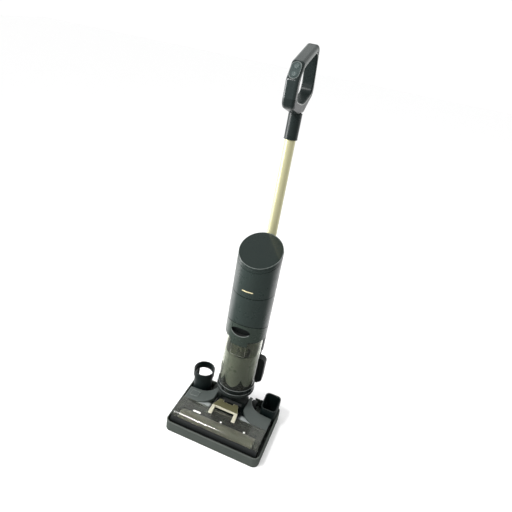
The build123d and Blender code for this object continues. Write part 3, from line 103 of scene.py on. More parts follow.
# Metres: points this near are one, and points this near to the outermost one lie on the outer face
WELD = 1e-6
FACE_DEPTH = 0.0001

# Outline on the roller button, and places of the screws as shares of an end cover's depth and height
OUTLINE_INSET = 1.6
OUTLINE_CORNER = 3.0
SCREW_PLACES = ((0.25, 0.16), (0.25, 0.80), (0.62, 0.16), (0.92, 0.16), (0.92, 0.62))
# A screw head from its foot to its recess: share of the radius, depth of the lobes and height
SCREW_HEAD = ((1.0, 0.0, -0.2), (1.0, 0.0, 0.25), (0.86, 0.0, 0.55), (0.46, 0.14, 0.6), (0.42, 0.14, -0.5))
SCREW_LOBES = 6
SCREW_SIDES = 36

# Pile of the roller: its grid, round ends as shares of its length and radius, winding lanes and tufts.
# The twist and the tufts along the roller are counted by the metre.
PILE_STATIONS = 150
PILE_TURNS = 132
SHOULDER_RISE = 6.0
SHOULDER_START = 0.45
SHOULDER_RADIUS = 0.86
LANES = 2
LANE_TWIST = 70.0
LANE_SHARE = 0.35
TUFTS_ALONG = 714.0
TUFTS_AROUND = 15.3

# Soft lip of the window, in degrees above the roller's axis, drawn tall so that it also paints the shade
# above the dock's wall, and the white domes under the window, painted reflections of a row of lamps: place
# across and along, stretch sideways, and the dome as shares of the radius with its lift
# The lip's angles reach high so that its black also paints the shade above the dock's wall.
BUMPER_SHADE_ANGLES = range(-3, 38, 5)
BUMPER_PROUD = 0.4
BUMPER_SUNK = 0.1
BUMPER_END = 1.0
GLARE_SPOTS = ((-72.0, -83.8, 9.5), (6.9, -85.2, 0.0), (81.9, -86.6, 0.0))
GLARE_DOME = ((1.0, -0.1), (0.96, 0.2), (0.75, 0.4), (0.3, 0.5))
GLARE_SIDES = 32

# Trim on the round body. A section steps out of the skin, and up as a share of the half height.
BAND_SECTION = ((-0.3, -1), (0.06, -0.8), (0.06, 0.8), (-0.3, 1))
BAND_STEPS = 72
SEAM_BAND = (0.95, radians(150))
LID_BAND = (0.9, radians(148))
BAR_SECTION = ((-0.2, -1), (0.5, -0.9), (0.6, 0), (0.5, 0.9), (-0.2, 1))
BAR_STEPS = 24
BAR_LEVEL = 419.5
BAR_TAPER = 0.35
BAR_SHARPNESS = 6
# Vents: dark plates of painted shade that stand for open slots.
VENT_SECTION = ((-0.3, -1), (0.07, -0.9), (0.07, 0.9), (-0.3, 1))
VENT_STEPS = 12
VENT_LEVEL = 424.0
VENT_PITCH = 7.0
VENT_HALF = 1.3
VENT_TIP = 0.04
VENT_SHARPNESS = 4
VENT_START = radians(104)
VENT_REACH = radians(26)
# Light bead round the display: painted highlight on the rim's edge.
DISPLAY_HIGHLIGHT_INSET = 0.5
DISPLAY_HIGHLIGHT_DROP = 0.2
SLEEVE_RING_INSET = 0.3
SLEEVE_RING_RISE = 0.5

# Signs on the two buttons, as shares of the button's half width
POWER_RING = 0.5
POWER_START = radians(130)
POWER_SWEEP = radians(280)
POWER_STROKE = (0.12, 0.4, 0.66)
POWER_STEPS = 32
DROP_WIDTH = 0.38
DROP_HEIGHT = 0.44
DROP_TIP = 0.22
DROP_SHARPNESS = 0.55
DROP_LOWERED = 0.08
DROP_STEPS = 40

# Milky sleeve in the dirty tank: it rises to the top only behind the strainer
LINER_INSET = (3.0, 3.6)
LINER_DROP = 4.0
LINER_BACK = radians(100)
LINER_BLEND = radians(24)
LINER_STEPS = 96
# Painted highlights on the tank: inset and corner on the strainer, inset and level on the foot, steps to
# each side
STRAINER_INSET = 0.4
STRAINER_CORNER = 3.0
FOOT_TOP = (0.5, -0.2)
FOOT_LOW = (0.1, 2.6)
FOOT_REACH = 34
# Finger recess: how far its liner stays inside the cut, the arc of the light on its lower lip in
# degrees, and the dark line at its corner, across and up
RECESS_SKIN = (0.1, -0.2)
RECESS_LAP = 0.12
RECESS_GAP = 0.1
LIP_ARC = range(196, 346, 6)
LIP_PROUD = 0.1
NOTCH_START = (0.4, -2.0)
NOTCH_STEP = (0.1, 3.0)
NOTCH_POINTS = 7
RECESS_STEPS = 64

# Level marks on the clean tank, as shares of its height and width
MARK_COUNT = 5
MARK_START = 0.15
MARK_PITCH = 0.13
MARK_LONG = 0.55
MARK_SHORT = 0.35
MARK_EDGE = 0.7
MARK_WIDTH = 0.3

# Finishes: the upward part of a face's direction where the bridge handle's painted highlight on its slopes
# gives way to the painted shade on its flat top, how far roughness strays, and tones that no setting
# changes, among them the satin silver of the painted highlight in the valley's corners
HIGHLIGHT_RISE = 0.955
SHADE_RISE = 0.99
BRIDGE_METAL = 0.3
DRAWN_SPREAD = 0.06
CLEAR_SPREAD = (0.6, 1.5)
WORN_METAL = 1.12
PILE_TONES = (0.62, 1.25)
TUFT_CONTRAST = 0.9
DUST_TONE = (0.42, 0.42, 0.39, 1)
# Satin silver of the painted highlight on the valley's flared corners.
CORNER_HIGHLIGHT = (0.30, 0.325, 0.32, 1)

# Stage: half of the floor in metres, the sensor in millimetres, the tilt of the mirrored wall, and each
# light's place, aim and size in metres, its power setting and its share of it
FLOOR_HALF = 9.0
SENSOR = 36.0
WALL_DIP = -0.35
ROLLER_AIM = (-0.05, -0.1, 0.05)
LIGHTS = {
    "strip_near": ((-0.42, -0.64, 1.40), ROLLER_AIM, (0.24, 0.16), "key", 1.8),
    "strip_far": ((-0.66, -0.56, 1.36), ROLLER_AIM, (0.05, 0.42), "key", 0.6),
    "side": ((-1.7, -0.5, 0.75), (0, 0, 0.45), (0.8, 1.3), "side", 1.0),
}

# The body's own frame: its foot is the recline pin, Z runs up the body, -Y is the front
PIN = Vector(JOINTS["recline"]["pos_m"])
UP_BODY = Vector(JOINTS["swivel"]["axis"]).normalized()
ACROSS = Vector((1, 0, 0))
REARWARD = UP_BODY.cross(ACROSS)
BODY = Matrix.Translation(PIN) @ Matrix((ACROSS, REARWARD, UP_BODY)).transposed().to_4x4()


def colour(label, words, default):
    """A colour that a user can change."""
    return FloatVectorProperty(name=label, description=words, subtype="COLOR", size=3, min=0, max=1,
                               default=default)


def length(label, words, default):
    """A length that a user can change."""
    return FloatProperty(name=label, description=words, unit="LENGTH", min=0, default=default)


class ScrubberFinish(bpy.types.PropertyGroup):
    """Colours of the finishes."""

    body: colour("Body", "Satin plastic of the round housings", (0.019, 0.028, 0.025))
    lid: colour("Tank lid", "Satin plastic of the tank lid", (0.024, 0.034, 0.027))
    lobes: colour("Head cover", "Satin plastic of the two lobes", (0.050, 0.061, 0.057))
    base: colour("Head base", "Grained plastic of the head and neck", (0.006, 0.010, 0.009))
    gloss: colour("Gloss black", "Polished plastic of the valley and rings", (0.003, 0.0045, 0.0045))
    lens: colour("Display", "Polished disc on top of the body", (0.012, 0.018, 0.0165))
    tray: colour("Dock", "Grained plastic of the dock", (0.054, 0.064, 0.055))
    holder: colour("Holder", "Grained plastic of the holder and the box", (0.004, 0.008, 0.008))
    # The two gold tones are painted light on one metal: a painted highlight on the sloping faces and a
    # painted shade on the flat top.
    gold: colour("Gold", "Sloping faces of the window handle", (0.80, 0.775, 0.62))
    gold_painted_shade: colour("Deep gold", "Flat top of the window handle", (0.125, 0.12, 0.062))
    tube: colour("Tube", "Satin anodised aluminium of the tube", (0.49, 0.468, 0.28))
    smoke: colour("Smoke", "Clear smoked plastic of the dirty tank", (0.76, 0.78, 0.70))
    window: colour("Window", "Clear smoked plastic over the roller", (0.76, 0.78, 0.7))
    pile: colour("Pile", "Plush of the roller", (0.3, 0.285, 0.235))
    grip: colour("Grip", "Soft touch plastic of the handle", (0.012, 0.017, 0.0165))
    # The liner's colour also feeds its faint glow, painted light inside the tank.
    liner: colour("Liner", "Milky sleeve in the dirty tank", (0.27, 0.285, 0.235))
    trim: colour("Trim", "Bright gold of the trim bar", (0.72, 0.63, 0.38))
    rubber: colour("Rubber", "Wheels, feet and blades", (0.01, 0.012, 0.012))


class ScrubberSizes(bpy.types.PropertyGroup):
    """Sizes of the trim that is added to the model."""

    edge: length("Edge round", "Rounding of moulded edges", 0.0008)
    tuft: length("Tuft", "Depth of the plush", 0.0012)
    screw: length("Screw", "Radius of a screw head", 0.0027)
    bar_half_angle: FloatProperty(name="Trim bar", description="Half of the arc that the trim bar takes",
                                  subtype="ANGLE", default=radians(15.5))
    bar_height: length("Trim bar height", "Height of the trim bar", 0.0034)
    # Radius of the thin lines, the moulded ones and the painted highlights.
    line: length("Line", "Radius of the thin moulded lines", 0.0004)
    # Radius of the white domes: painted reflections of lamps on the window.
    glare_radius: length("Jet", "Radius of the white jets under the window", 0.0032)
    vents: IntProperty(name="Vents", description="Air slots on each side of the body", default=7, min=1)


class StageSettings(bpy.types.PropertyGroup):
    """Camera and light."""

    lens: FloatProperty(name="Lens", description="Focal length in millimetres on a 36 mm sensor",
                        default=32.13)
    azimuth: FloatProperty(name="Azimuth", description="Camera turn about the object", subtype="ANGLE",
                           default=radians(16.08))
    elevation: FloatProperty(name="Elevation", description="Camera height angle", subtype="ANGLE",
                             default=radians(26.76))
    roll: FloatProperty(name="Roll", description="Camera roll", subtype="ANGLE", default=radians(9.84))
    distance: length("Distance", "Camera to the point it looks at", 1.15262)
    aim: length("Aim height", "Height of the point that the camera looks at", 0.64579)
    shift: FloatVectorProperty(name="Shift", description="Lens shift", size=2, default=(-0.0063, -0.0422))
    key: FloatProperty(name="Strip light", description="Power of the two strip lights in watts",
                       default=5.0)
    side: FloatProperty(name="Side light", description="Power of the soft light at the left in watts",
                        default=38.0)
    sky: FloatProperty(name="Sky", description="Strength of the white surroundings", default=1.04)


# Shader node groups

def new_group(name, inputs, outputs):
    """A shader node group with named sockets, and its two end nodes."""
    tree = bpy.data.node_groups.new(name, "ShaderNodeTree")
    for label, kind, value in inputs:
        socket = tree.interface.new_socket(label, in_out="INPUT", socket_type=kind)
        socket.default_value = value
    for label, kind in outputs:
        tree.interface.new_socket(label, in_out="OUTPUT", socket_type=kind)
    return tree, tree.nodes.new("NodeGroupInput"), tree.nodes.new("NodeGroupOutput")


def put(tree, kind, values=None, **settings):
    """A node with its settings and the values of its sockets."""
    node = tree.nodes.new(kind)
    for key, value in settings.items():
        setattr(node, key, value)
    for key, value in (values or {}).items():
        node.inputs[key].default_value = value
    return node


def join(tree, *links):
    """Links given as (from node, its output, to node, its input)."""
    for source, output, target, entry in links:
        tree.links.new(source.outputs[output], target.inputs[entry])


def grain_group():
    """Fine moulded grain and a broad mottle over the surface."""
    tree, into, out = new_group(
        "moulded_grain",
        [("Grain", "NodeSocketFloat", 2200.0), ("Mottle", "NodeSocketFloat", 22.0)],
        [("Height", "NodeSocketFloat"), ("Mottle", "NodeSocketFloat")])
    place = put(tree, "ShaderNodeTexCoord")
    fine = put(tree, "ShaderNodeTexNoise", {"Detail": 3.0, "Roughness": 0.6})
    pits = put(tree, "ShaderNodeTexVoronoi", distance="EUCLIDEAN")
    broad = put(tree, "ShaderNodeTexNoise", {"Detail": 4.0, "Roughness": 0.55})
    mix = put(tree, "ShaderNodeMath", operation="ADD")
    join(tree, (place, "Object", fine, "Vector"), (place, "Object", pits, "Vector"),
         (place, "Object", broad, "Vector"), (into, "Grain", fine, "Scale"),
         (into, "Grain", pits, "Scale"), (into, "Mottle", broad, "Scale"), (fine, "Fac", mix, 0),
         (pits, "Distance", mix, 1), (mix, 0, out, "Height"), (broad, "Fac", out, "Mottle"))
    return tree


def wear_group():
    """Rubbed patches where a colour turns to its worn shade."""
    tree, into, out = new_group(
        "rubbed_wear",
        [("Color", "NodeSocketColor", (0.1, 0.1, 0.1, 1)), ("Worn", "NodeSocketColor", (0.2, 0.2, 0.2, 1)),
         ("Amount", "NodeSocketFloat", 0.3), ("Size", "NodeSocketFloat", 30.0)],
        [("Color", "NodeSocketColor")])
    place = put(tree, "ShaderNodeTexCoord")
    patches = put(tree, "ShaderNodeTexNoise", {"Detail": 6.0, "Roughness": 0.7, "Distortion": 0.4})
    edge = put(tree, "ShaderNodeMapRange", {"From Min": 0.52, "From Max": 0.74})
    mask = put(tree, "ShaderNodeMath", operation="MULTIPLY")
    mix = put(tree, "ShaderNodeMix", data_type="RGBA")
    join(tree, (place, "Object", patches, "Vector"), (into, "Size", patches, "Scale"),
         (patches, "Fac", edge, "Value"), (edge, "Result", mask, 0), (into, "Amount", mask, 1),
         (mask, 0, mix, "Factor"), (into, "Color", mix, "A"), (into, "Worn", mix, "B"),
         (mix, "Result", out, "Color"))
    return tree


def dust_group():
    """A thin pale veil on faces that look up."""
    tree, into, out = new_group(
        "settled_dust",
        [("Color", "NodeSocketColor", (0.1, 0.1, 0.1, 1)), ("Amount", "NodeSocketFloat", 0.1)],
        [("Color", "NodeSocketColor")])
    place = put(tree, "ShaderNodeTexCoord")
    face = put(tree, "ShaderNodeNewGeometry")
    split = put(tree, "ShaderNodeSeparateXYZ")
    rise = put(tree, "ShaderNodeMapRange", {"From Min": 0.2, "From Max": 1.0})
    specks = put(tree, "ShaderNodeTexNoise", {"Scale": 260.0, "Detail": 8.0, "Roughness": 0.75})
    thin = put(tree, "ShaderNodeMath", operation="MULTIPLY")
    mask = put(tree, "ShaderNodeMath", operation="MULTIPLY")
    mix = put(tree, "ShaderNodeMix", {"B": DUST_TONE}, data_type="RGBA")
    join(tree, (place, "Object", specks, "Vector"), (face, "Normal", split, 0),
         (split, "Z", rise, "Value"), (rise, "Result", thin, 0), (specks, "Fac", thin, 1),
         (thin, 0, mask, 0), (into, "Amount", mask, 1), (mask, 0, mix, "Factor"),
         (into, "Color", mix, "A"), (mix, "Result", out, "Color"))
    return tree


def drawn_group():
    """Fine lines along one direction, as on drawn or brushed metal."""
    tree, into, out = new_group(
        "drawn_lines",
        [("Along", "NodeSocketFloat", 6.0), ("Across", "NodeSocketFloat", 900.0)],
        [("Height", "NodeSocketFloat"), ("Streak", "NodeSocketFloat")])
    place = put(tree, "ShaderNodeTexCoord")
    stretch = put(tree, "ShaderNodeCombineXYZ")
    scaled = put(tree, "ShaderNodeVectorMath", operation="MULTIPLY")
    lines = put(tree, "ShaderNodeTexNoise", {"Scale": 1.0, "Detail": 3.0, "Roughness": 0.6})
    broad = put(tree, "ShaderNodeTexNoise", {"Scale": 0.06, "Detail": 2.0})
    join(tree, (into, "Across", stretch, "X"), (into, "Across", stretch, "Y"),
         (into, "Along", stretch, "Z"), (place, "Object", scaled, 0), (stretch, 0, scaled, 1),
         (scaled, 0, lines, "Vector"), (scaled, 0, broad, "Vector"), (lines, "Fac", out, "Height"),
         (broad, "Fac", out, "Streak"))
    return tree


GROUPS = {}


def group_node(tree, name, **values):
    """Places a shared effect in a material with its own values."""
    node = put(tree, "ShaderNodeGroup")
    node.node_tree = GROUPS[name]
    for key, value in values.items():
        node.inputs[key].default_value = value
    return node


def shade(rgb, factor):
    """A colour made lighter or darker, with alpha."""
    return tuple(min(1.0, c * factor) for c in rgb[:3]) + (1.0,)


def shader(name, **sockets):
    """A material with a Principled shader and its even values set on the sockets."""
    material = bpy.data.materials.new(name)
    material.use_nodes = True
    tree = material.node_tree
    main = tree.nodes["Principled BSDF"]
    for key, value in sockets.items():
        main.inputs[key.replace("_", " ")].default_value = value
    return material, tree, main


def moulded(name, rgb, rough, grain=2200.0, bump=0.12, wear=0.25, dust=0.05, worn=1.6, spread=0.12,
            **sockets):
    """Moulded plastic or rubber: grain, mottled roughness, rubbed patches and a little dust."""
    material, tree, main = shader(name, **sockets)
    fine = group_node(tree, "moulded_grain", Grain=grain, Mottle=24.0)
    rub = group_node(tree, "rubbed_wear", Color=shade(rgb, 1.0), Worn=shade(rgb, worn), Amount=wear,
                     Size=26.0)
    veil = group_node(tree, "settled_dust", Amount=dust)
    rough_map = put(tree, "ShaderNodeMapRange", {"From Min": 0.3, "From Max": 0.7,
                                                 "To Min": rough - spread / 2,
                                                 "To Max": rough + spread / 2})
    relief = put(tree, "ShaderNodeBump", {"Strength": bump, "Distance": 0.0004})
    join(tree, (rub, "Color", veil, "Color"), (veil, "Color", main, "Base Color"),
         (fine, "Mottle", rough_map, "Value"), (rough_map, "Result", main, "Roughness"),
         (fine, "Height", relief, "Height"), (relief, "Normal", main, "Normal"))
    return material


def drawn_metal(name, rgb, rough, along=6.0, across=900.0, bump=0.06, metal=1.0):
    """Metal with fine drawn lines and a soft change of tone."""
    material, tree, main = shader(name, Metallic=metal)
    lines = group_node(tree, "drawn_lines", Along=along, Across=across)
    rub = group_node(tree, "rubbed_wear", Color=shade(rgb, 1.0), Worn=shade(rgb, WORN_METAL), Amount=0.25,
                     Size=14.0)
    rough_map = put(tree, "ShaderNodeMapRange", {"From Min": 0.3, "From Max": 0.7,
                                                 "To Min": rough - DRAWN_SPREAD,
                                                 "To Max": rough + DRAWN_SPREAD})
    relief = put(tree, "ShaderNodeBump", {"Strength": bump, "Distance": 0.0002})
    join(tree, (rub, "Color", main, "Base Color"), (lines, "Streak", rough_map, "Value"),
         (rough_map, "Result", main, "Roughness"), (lines, "Height", relief, "Height"),
         (relief, "Normal", main, "Normal"))
    return material


def bridge_metal_lit_and_shaded(name, rgb, shaded_rgb, rough):
    """Satin metal with painted light: a bright painted highlight where it slopes and a deep painted shade
    where it lies flat.
    """
    material, tree, main = shader(name, Metallic=BRIDGE_METAL, Roughness=rough)
    face = put(tree, "ShaderNodeNewGeometry")
    axes = put(tree, "ShaderNodeSeparateXYZ")
    level = put(tree, "ShaderNodeMapRange", {"From Min": HIGHLIGHT_RISE, "From Max": SHADE_RISE})
    tone = put(tree, "ShaderNodeMix", data_type="RGBA")
    slope = group_node(tree, "rubbed_wear", Color=shade(rgb, 1.0), Worn=shade(rgb, WORN_METAL),
                       Amount=0.25, Size=14.0)
    flat = group_node(tree, "rubbed_wear", Color=shade(shaded_rgb, 1.0), Worn=shade(shaded_rgb, 1.2),
                      Amount=0.3, Size=9.0)
    # The face's upward direction switches from the painted highlight on slopes to the painted shade on the
    # flat top.
    join(tree, (face, "Normal", axes, "Vector"), (axes, "Z", level, "Value"),
         (level, "Result", tone, "Factor"), (slope, "Color", tone, "A"), (flat, "Color", tone, "B"),
         (tone, "Result", main, "Base Color"))
    return material


def clear_plastic(name, rgb, rough, clearness, bend=1.46, **sockets):
    """Smoked clear plastic with faint streaks, water marks and a slight ripple."""
    material, tree, main = shader(name, Transmission_Weight=clearness, IOR=bend, **sockets)
    fine = group_node(tree, "moulded_grain", Grain=60.0, Mottle=14.0)
    marks = group_node(tree, "rubbed_wear", Color=shade(rgb, 1.0), Worn=shade(rgb, 1.1), Amount=0.4,
                       Size=12.0)
    rough_map = put(tree, "ShaderNodeMapRange", {"From Min": 0.35, "From Max": 0.7,
                                                 "To Min": rough * CLEAR_SPREAD[0],
                                                 "To Max": rough * CLEAR_SPREAD[1]})
    relief = put(tree, "ShaderNodeBump", {"Strength": 0.006, "Distance": 0.0004})
    join(tree, (marks, "Color", main, "Base Color"), (fine, "Mottle", rough_map, "Value"),
         (rough_map, "Result", main, "Roughness"), (fine, "Height", relief, "Height"),
         (relief, "Normal", main, "Normal"))
    return material


def plush(name, rgb):
    """Short plush: tuft colour changes, flattened lanes and a soft sheen."""
    material, tree, main = shader(name, Roughness=0.95, Sheen_Weight=0.6, Sheen_Roughness=0.5)
    place = put(tree, "ShaderNodeTexCoord")
    tufts = put(tree, "ShaderNodeTexVoronoi", {"Scale": 520.0})
    lanes = put(tree, "ShaderNodeTexWave", {"Scale": 11.0, "Distortion": 3.0, "Detail": 3.0,
                                            "Detail Scale": 2.0}, bands_direction="DIAGONAL")
    blend = put(tree, "ShaderNodeMath", {1: TUFT_CONTRAST}, operation="MULTIPLY_ADD")
    soft_lanes = put(tree, "ShaderNodeMapRange", {"To Min": 0.10, "To Max": 0.28})
    ramp = put(tree, "ShaderNodeValToRGB")
    for stop, factor in zip(ramp.color_ramp.elements, PILE_TONES):
        stop.color = shade(rgb, factor)
    relief = put(tree, "ShaderNodeBump", {"Strength": 0.6, "Distance": 0.0012})
    join(tree, (place, "Object", tufts, "Vector"), (place, "Object", lanes, "Vector"),
         (tufts, "Distance", blend, 0), (lanes, "Fac", soft_lanes, "Value"),
         (soft_lanes, "Result", blend, 2), (blend, 0, ramp, "Fac"), (ramp, "Color", main, "Base Color"),
         (tufts, "Distance", relief, "Height"), (relief, "Normal", main, "Normal"))
    return material


def valley_gloss_highlight(name, rgb):
    """Polished black with a painted highlight in satin silver on the two flared front corners."""
    material, tree, main = shader(name, Coat_Weight=0.5, Coat_Roughness=0.03, Specular_IOR_Level=0.3)
    fine = group_node(tree, "moulded_grain", Grain=900.0, Mottle=30.0)
    rub = group_node(tree, "rubbed_wear", Color=shade(rgb, 1.0), Worn=shade(rgb, 1.6), Amount=0.2,
                     Size=26.0)
    place = put(tree, "ShaderNodeTexCoord")
    split = put(tree, "ShaderNodeSeparateXYZ")
    side = put(tree, "ShaderNodeMath", operation="ABSOLUTE")
    outer = put(tree, "ShaderNodeMapRange", {"From Min": 0.047, "From Max": 0.056},
                interpolation_type="SMOOTHSTEP")
    front = put(tree, "ShaderNodeMapRange", {"From Min": -0.024, "From Max": -0.034},
                interpolation_type="SMOOTHSTEP")
    # Mask of the painted highlight: the two flared front corners.
    corner = put(tree, "ShaderNodeMath", operation="MULTIPLY")
    mix = put(tree, "ShaderNodeMix", {"B": CORNER_HIGHLIGHT}, data_type="RGBA")
    rough = put(tree, "ShaderNodeMapRange", {"To Min": 0.12, "To Max": 0.38})
    relief = put(tree, "ShaderNodeBump", {"Strength": 0.01, "Distance": 0.0004})
    join(tree, (place, "Object", split, 0), (split, "X", side, 0), (side, 0, outer, "Value"),
         (split, "Y", front, "Value"), (outer, "Result", corner, 0), (front, "Result", corner, 1),
         (corner, 0, mix, "Factor"), (rub, "Color", mix, "A"), (mix, "Result", main, "Base Color"),
         (corner, 0, rough, "Value"), (rough, "Result", main, "Roughness"),
         (fine, "Height", relief, "Height"), (relief, "Normal", main, "Normal"))
    return material


def circuit_board(name):
    """Green lacquer with copper tracks."""
    material, tree, main = shader(name, Roughness=0.3)
    place = put(tree, "ShaderNodeTexCoord")
    tracks = put(tree, "ShaderNodeTexBrick", {"Scale": 150.0, "Mortar Size": 0.05,
                                              "Color1": (0.012, 0.12, 0.05, 1),
                                              "Color2": (0.018, 0.15, 0.06, 1),
                                              "Mortar": (0.20, 0.26, 0.10, 1)})
    join(tree, (place, "Object", tracks, "Vector"), (tracks, "Color", main, "Base Color"))
    return material


MATERIALS = {}


def make_materials(finish):
    """Every finish on the machine, built once."""
    GROUPS.update({"moulded_grain": grain_group(), "rubbed_wear": wear_group(),
                   "settled_dust": dust_group(), "drawn_lines": drawn_group()})
    satin = {"Specular_IOR_Level": 0.5}
    clear = {"Coat_Weight": 0.3, "Coat_Roughness": 0.05}
    polish = {"Coat_Weight": 0.5, "Coat_Roughness": 0.03, "Specular_IOR_Level": 0.3}
    MATERIALS.update({
        "body": moulded("body_satin", finish.body, 0.30, grain=2600, bump=0.02, wear=0.05, dust=0.0,
                        **satin),
        "lid": moulded("lid_satin", finish.lid, 0.28, grain=2600, bump=0.02, wear=0.05, dust=0.0,
                       **satin),
        "lobes": moulded("lobe_satin", finish.lobes, 0.38, grain=3000, bump=0.05, wear=0.25, dust=0.05,
                         **satin),
        "base": moulded("base_grained", finish.base, 0.5, grain=1700, bump=0.16, wear=0.25, dust=0.06,
                        **satin),
        "gloss": moulded("gloss_black", finish.gloss, 0.14, grain=400, bump=0.01, wear=0.2, dust=0.02,
                         spread=0.08, **polish),
        "lens": moulded("display_lens", finish.lens, 0.16, grain=300, bump=0.008, wear=0.08, dust=0.02,
                        spread=0.1, **polish),
        "ring": moulded("display_ring", shade(finish.body, 0.9), 0.30, grain=2600, bump=0.04, wear=0.2,
                        dust=0.02, **satin),
        "tray": moulded("tray_grained", finish.tray, 0.55, grain=1500, bump=0.2, wear=0.3, dust=0.10,
                        worn=1.35, **satin),
        "holder": moulded("holder_grained", finish.holder, 0.36, grain=1900, bump=0.1, wear=0.25,
                          dust=0.05, **satin),
        "rubber": moulded("rubber", finish.rubber, 0.68, grain=1300, bump=0.22, wear=0.35, dust=0.08,
                          Specular_IOR_Level=0.2),
        "grip": moulded("grip_soft", shade(finish.grip, 0.95), 0.28, grain=2400, bump=0.05, wear=0.15,
                        dust=0.01, Specular_IOR_Level=0.3),
        # The front shell takes the grip plastic 1.3 times lighter than the rear: a painted highlight on
        # the top of the handle.
        "grip_lit": moulded("grip_lit", shade(finish.grip, 1.3), 0.24, grain=2400, bump=0.04, wear=0.1,
                            dust=0.02, **clear),
        "pod": moulded("pod_satin", shade(finish.grip, 3.0), 0.34, grain=2400, bump=0.05, wear=0.15,
                       **satin),
        "button": moulded("button_satin", shade(finish.grip, 4.2), 0.35, grain=2400, bump=0.05, wear=0.25,
                          **satin),
        # Grey of moulded lines and of painted highlights on the display's rim and the tank's foot.
        "outline": moulded("grey_lines_and_highlights", (0.20, 0.22, 0.21), 0.32, grain=1200, bump=0.03, wear=0.3,
                           worn=1.3),
        "seam": moulded("seam_shadow", shade(finish.gloss, 0.4), 0.9, grain=1500, bump=0.05, wear=0.2,
                        dust=0.0, Specular_IOR_Level=0.05),
        # Grey of the painted highlights along the finger hole.
        "glint": moulded("painted_glint", (0.45, 0.47, 0.45), 0.25, grain=900, bump=0.03, wear=0.2,
                         worn=1.1),
        "valley": valley_gloss_highlight("valley_gloss_highlight", finish.gloss),
        "icon": moulded("icon_print", (0.20, 0.215, 0.21), 0.5, grain=900, bump=0.05, wear=0.3, worn=1.2),
        "petal": moulded("petal_satin", (0.004, 0.008, 0.006), 0.5, grain=500, bump=0.03, wear=0.1,
                         dust=0.0, Specular_IOR_Level=0.1),
        "pipe": moulded("pipe_grey", (0.12, 0.13, 0.115), 0.45, grain=1500, bump=0.08, wear=0.3),
        "roller_end": moulded("roller_end", (0.30, 0.30, 0.27), 0.5, grain=1500, bump=0.1, wear=0.3,
                              dust=0.08),
        # White of the painted reflections under the window and of the painted highlights on the strainer.
        "spot": moulded("glare_white", (0.86, 0.86, 0.82), 0.35, grain=900, bump=0.03, wear=0.2, worn=0.9),
        # Near black, a little darker than the gloss black: painted shade in the finger recess, on its wall
        # and on the latch.
        "recess": moulded("recess_painted_shade", shade(finish.gloss, 0.8), 0.3, grain=900, bump=0.05, wear=0.2),
        "battery": moulded("battery_wrap", (0.03, 0.05, 0.13), 0.3, grain=300, bump=0.06, wear=0.3),
        "pump": moulded("pump_white", (0.55, 0.55, 0.53), 0.45, grain=1500, bump=0.08, wear=0.3),
        "board": circuit_board("board_green"),
        # Window handle: painted highlight on its slopes and painted shade on its flat top.
        "gold": bridge_metal_lit_and_shaded("gold_satin", finish.gold, finish.gold_painted_shade, 0.30),
        "tube": drawn_metal("tube_champagne", finish.tube, 0.38, along=5, across=1100, bump=0.04,
                            metal=0.4),
        "steel": drawn_metal("steel", (0.50, 0.50, 0.51), 0.34, along=900, across=900),
        "fan": drawn_metal("fan_can", (0.48, 0.48, 0.48), 0.45, along=900, across=300),
        "trim": drawn_metal("trim_gold", finish.trim, 0.28, along=900, across=900, bump=0.01, metal=0.3),
        # The liner glows faintly in its own colour: painted light inside the tank.
        "liner": clear_plastic("tank_liner_glowing", finish.liner, 0.3, 0.26, bend=1.2, Emission_Strength=0.12,
                               Emission_Color=shade(finish.liner, 1.0)),
        "smoke": clear_plastic("tank_smoke", finish.smoke, 0.03, 0.985, bend=1.3),
        "inner_smoke": clear_plastic("strainer_smoke", shade(finish.smoke, 1.3), 0.06, 0.93, bend=1.3),
        "window": clear_plastic("window_smoke", finish.window, 0.09, 0.97),
        "clean": clear_plastic("clean_smoke", shade(finish.smoke, 0.14), 0.10, 0.45),
        "pile": plush("pile_plush", finish.pile),
    })


# Mesh helpers

def dress(material, *names, rounded=0.0):
    """Gives CAD nodes a finish, and rounds their edges for the light by a share of the edge round."""
    width = bpy.context.scene.scrubber_sizes.edge * rounded
    for name in names:
        node = NODES[name]
        node.data.materials.clear()
        node.data.materials.append(MATERIALS[material])
        if width:
            weld = node.modifiers.new("weld", "WELD")
            weld.merge_threshold = 0.00002
            bevel = node.modifiers.new("edge_round", "BEVEL")
            bevel.width = width
            bevel.segments = 3
            bevel.limit_method = "ANGLE"
            bevel.angle_limit = radians(38)
            bevel.use_clamp_overlap = True
            bevel.harden_normals = False
            normals = node.modifiers.new("even_normals", "WEIGHTED_NORMAL")
            normals.keep_sharp = True


def piece(name, mesh_builder, material, body):
    """A new piece of trim that rides on a body."""
    mesh = bpy.data.meshes.new(name)
    mesh_builder.normal_update()
    mesh_builder.to_mesh(mesh)
    mesh_builder.free()
    for face in mesh.polygons:
        face.use_smooth = True
    mesh.set_sharp_from_angle(angle=radians(35))
    made = bpy.data.objects.new(name, mesh)
    bpy.context.scene.collection.objects.link(made)
    made.data.materials.append(MATERIALS[material])
    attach(made, body)
    return made


def circle(steps):
    """Angles all the way round."""
    return [2 * pi * i / steps for i in range(steps)]


def loft(rings, close_ring=True, ends=True, mesh_builder=None):
    """Skins rings of points, with flat ends where the loft is open."""
    made = mesh_builder or bmesh.new()
    rows = [[made.verts.new(point) for point in ring] for ring in rings]
    count = len(rows[0])
    for low, high in zip(rows, rows[1:]):
        for i in range(count if close_ring else count - 1):
            j = (i + 1) % count
            made.faces.new((low[i], low[j], high[j], high[i]))
    if ends:
        made.faces.new(list(reversed(rows[0])))
        made.faces.new(rows[-1])
    return made


def closed_loft(rings, mesh_builder=None):
    """Skins rings that run back to the first one, and welds the two ends."""
    made = loft(rings + rings[:1], ends=False, mesh_builder=mesh_builder)
    bmesh.ops.remove_doubles(made, verts=made.verts, dist=WELD)
    return made


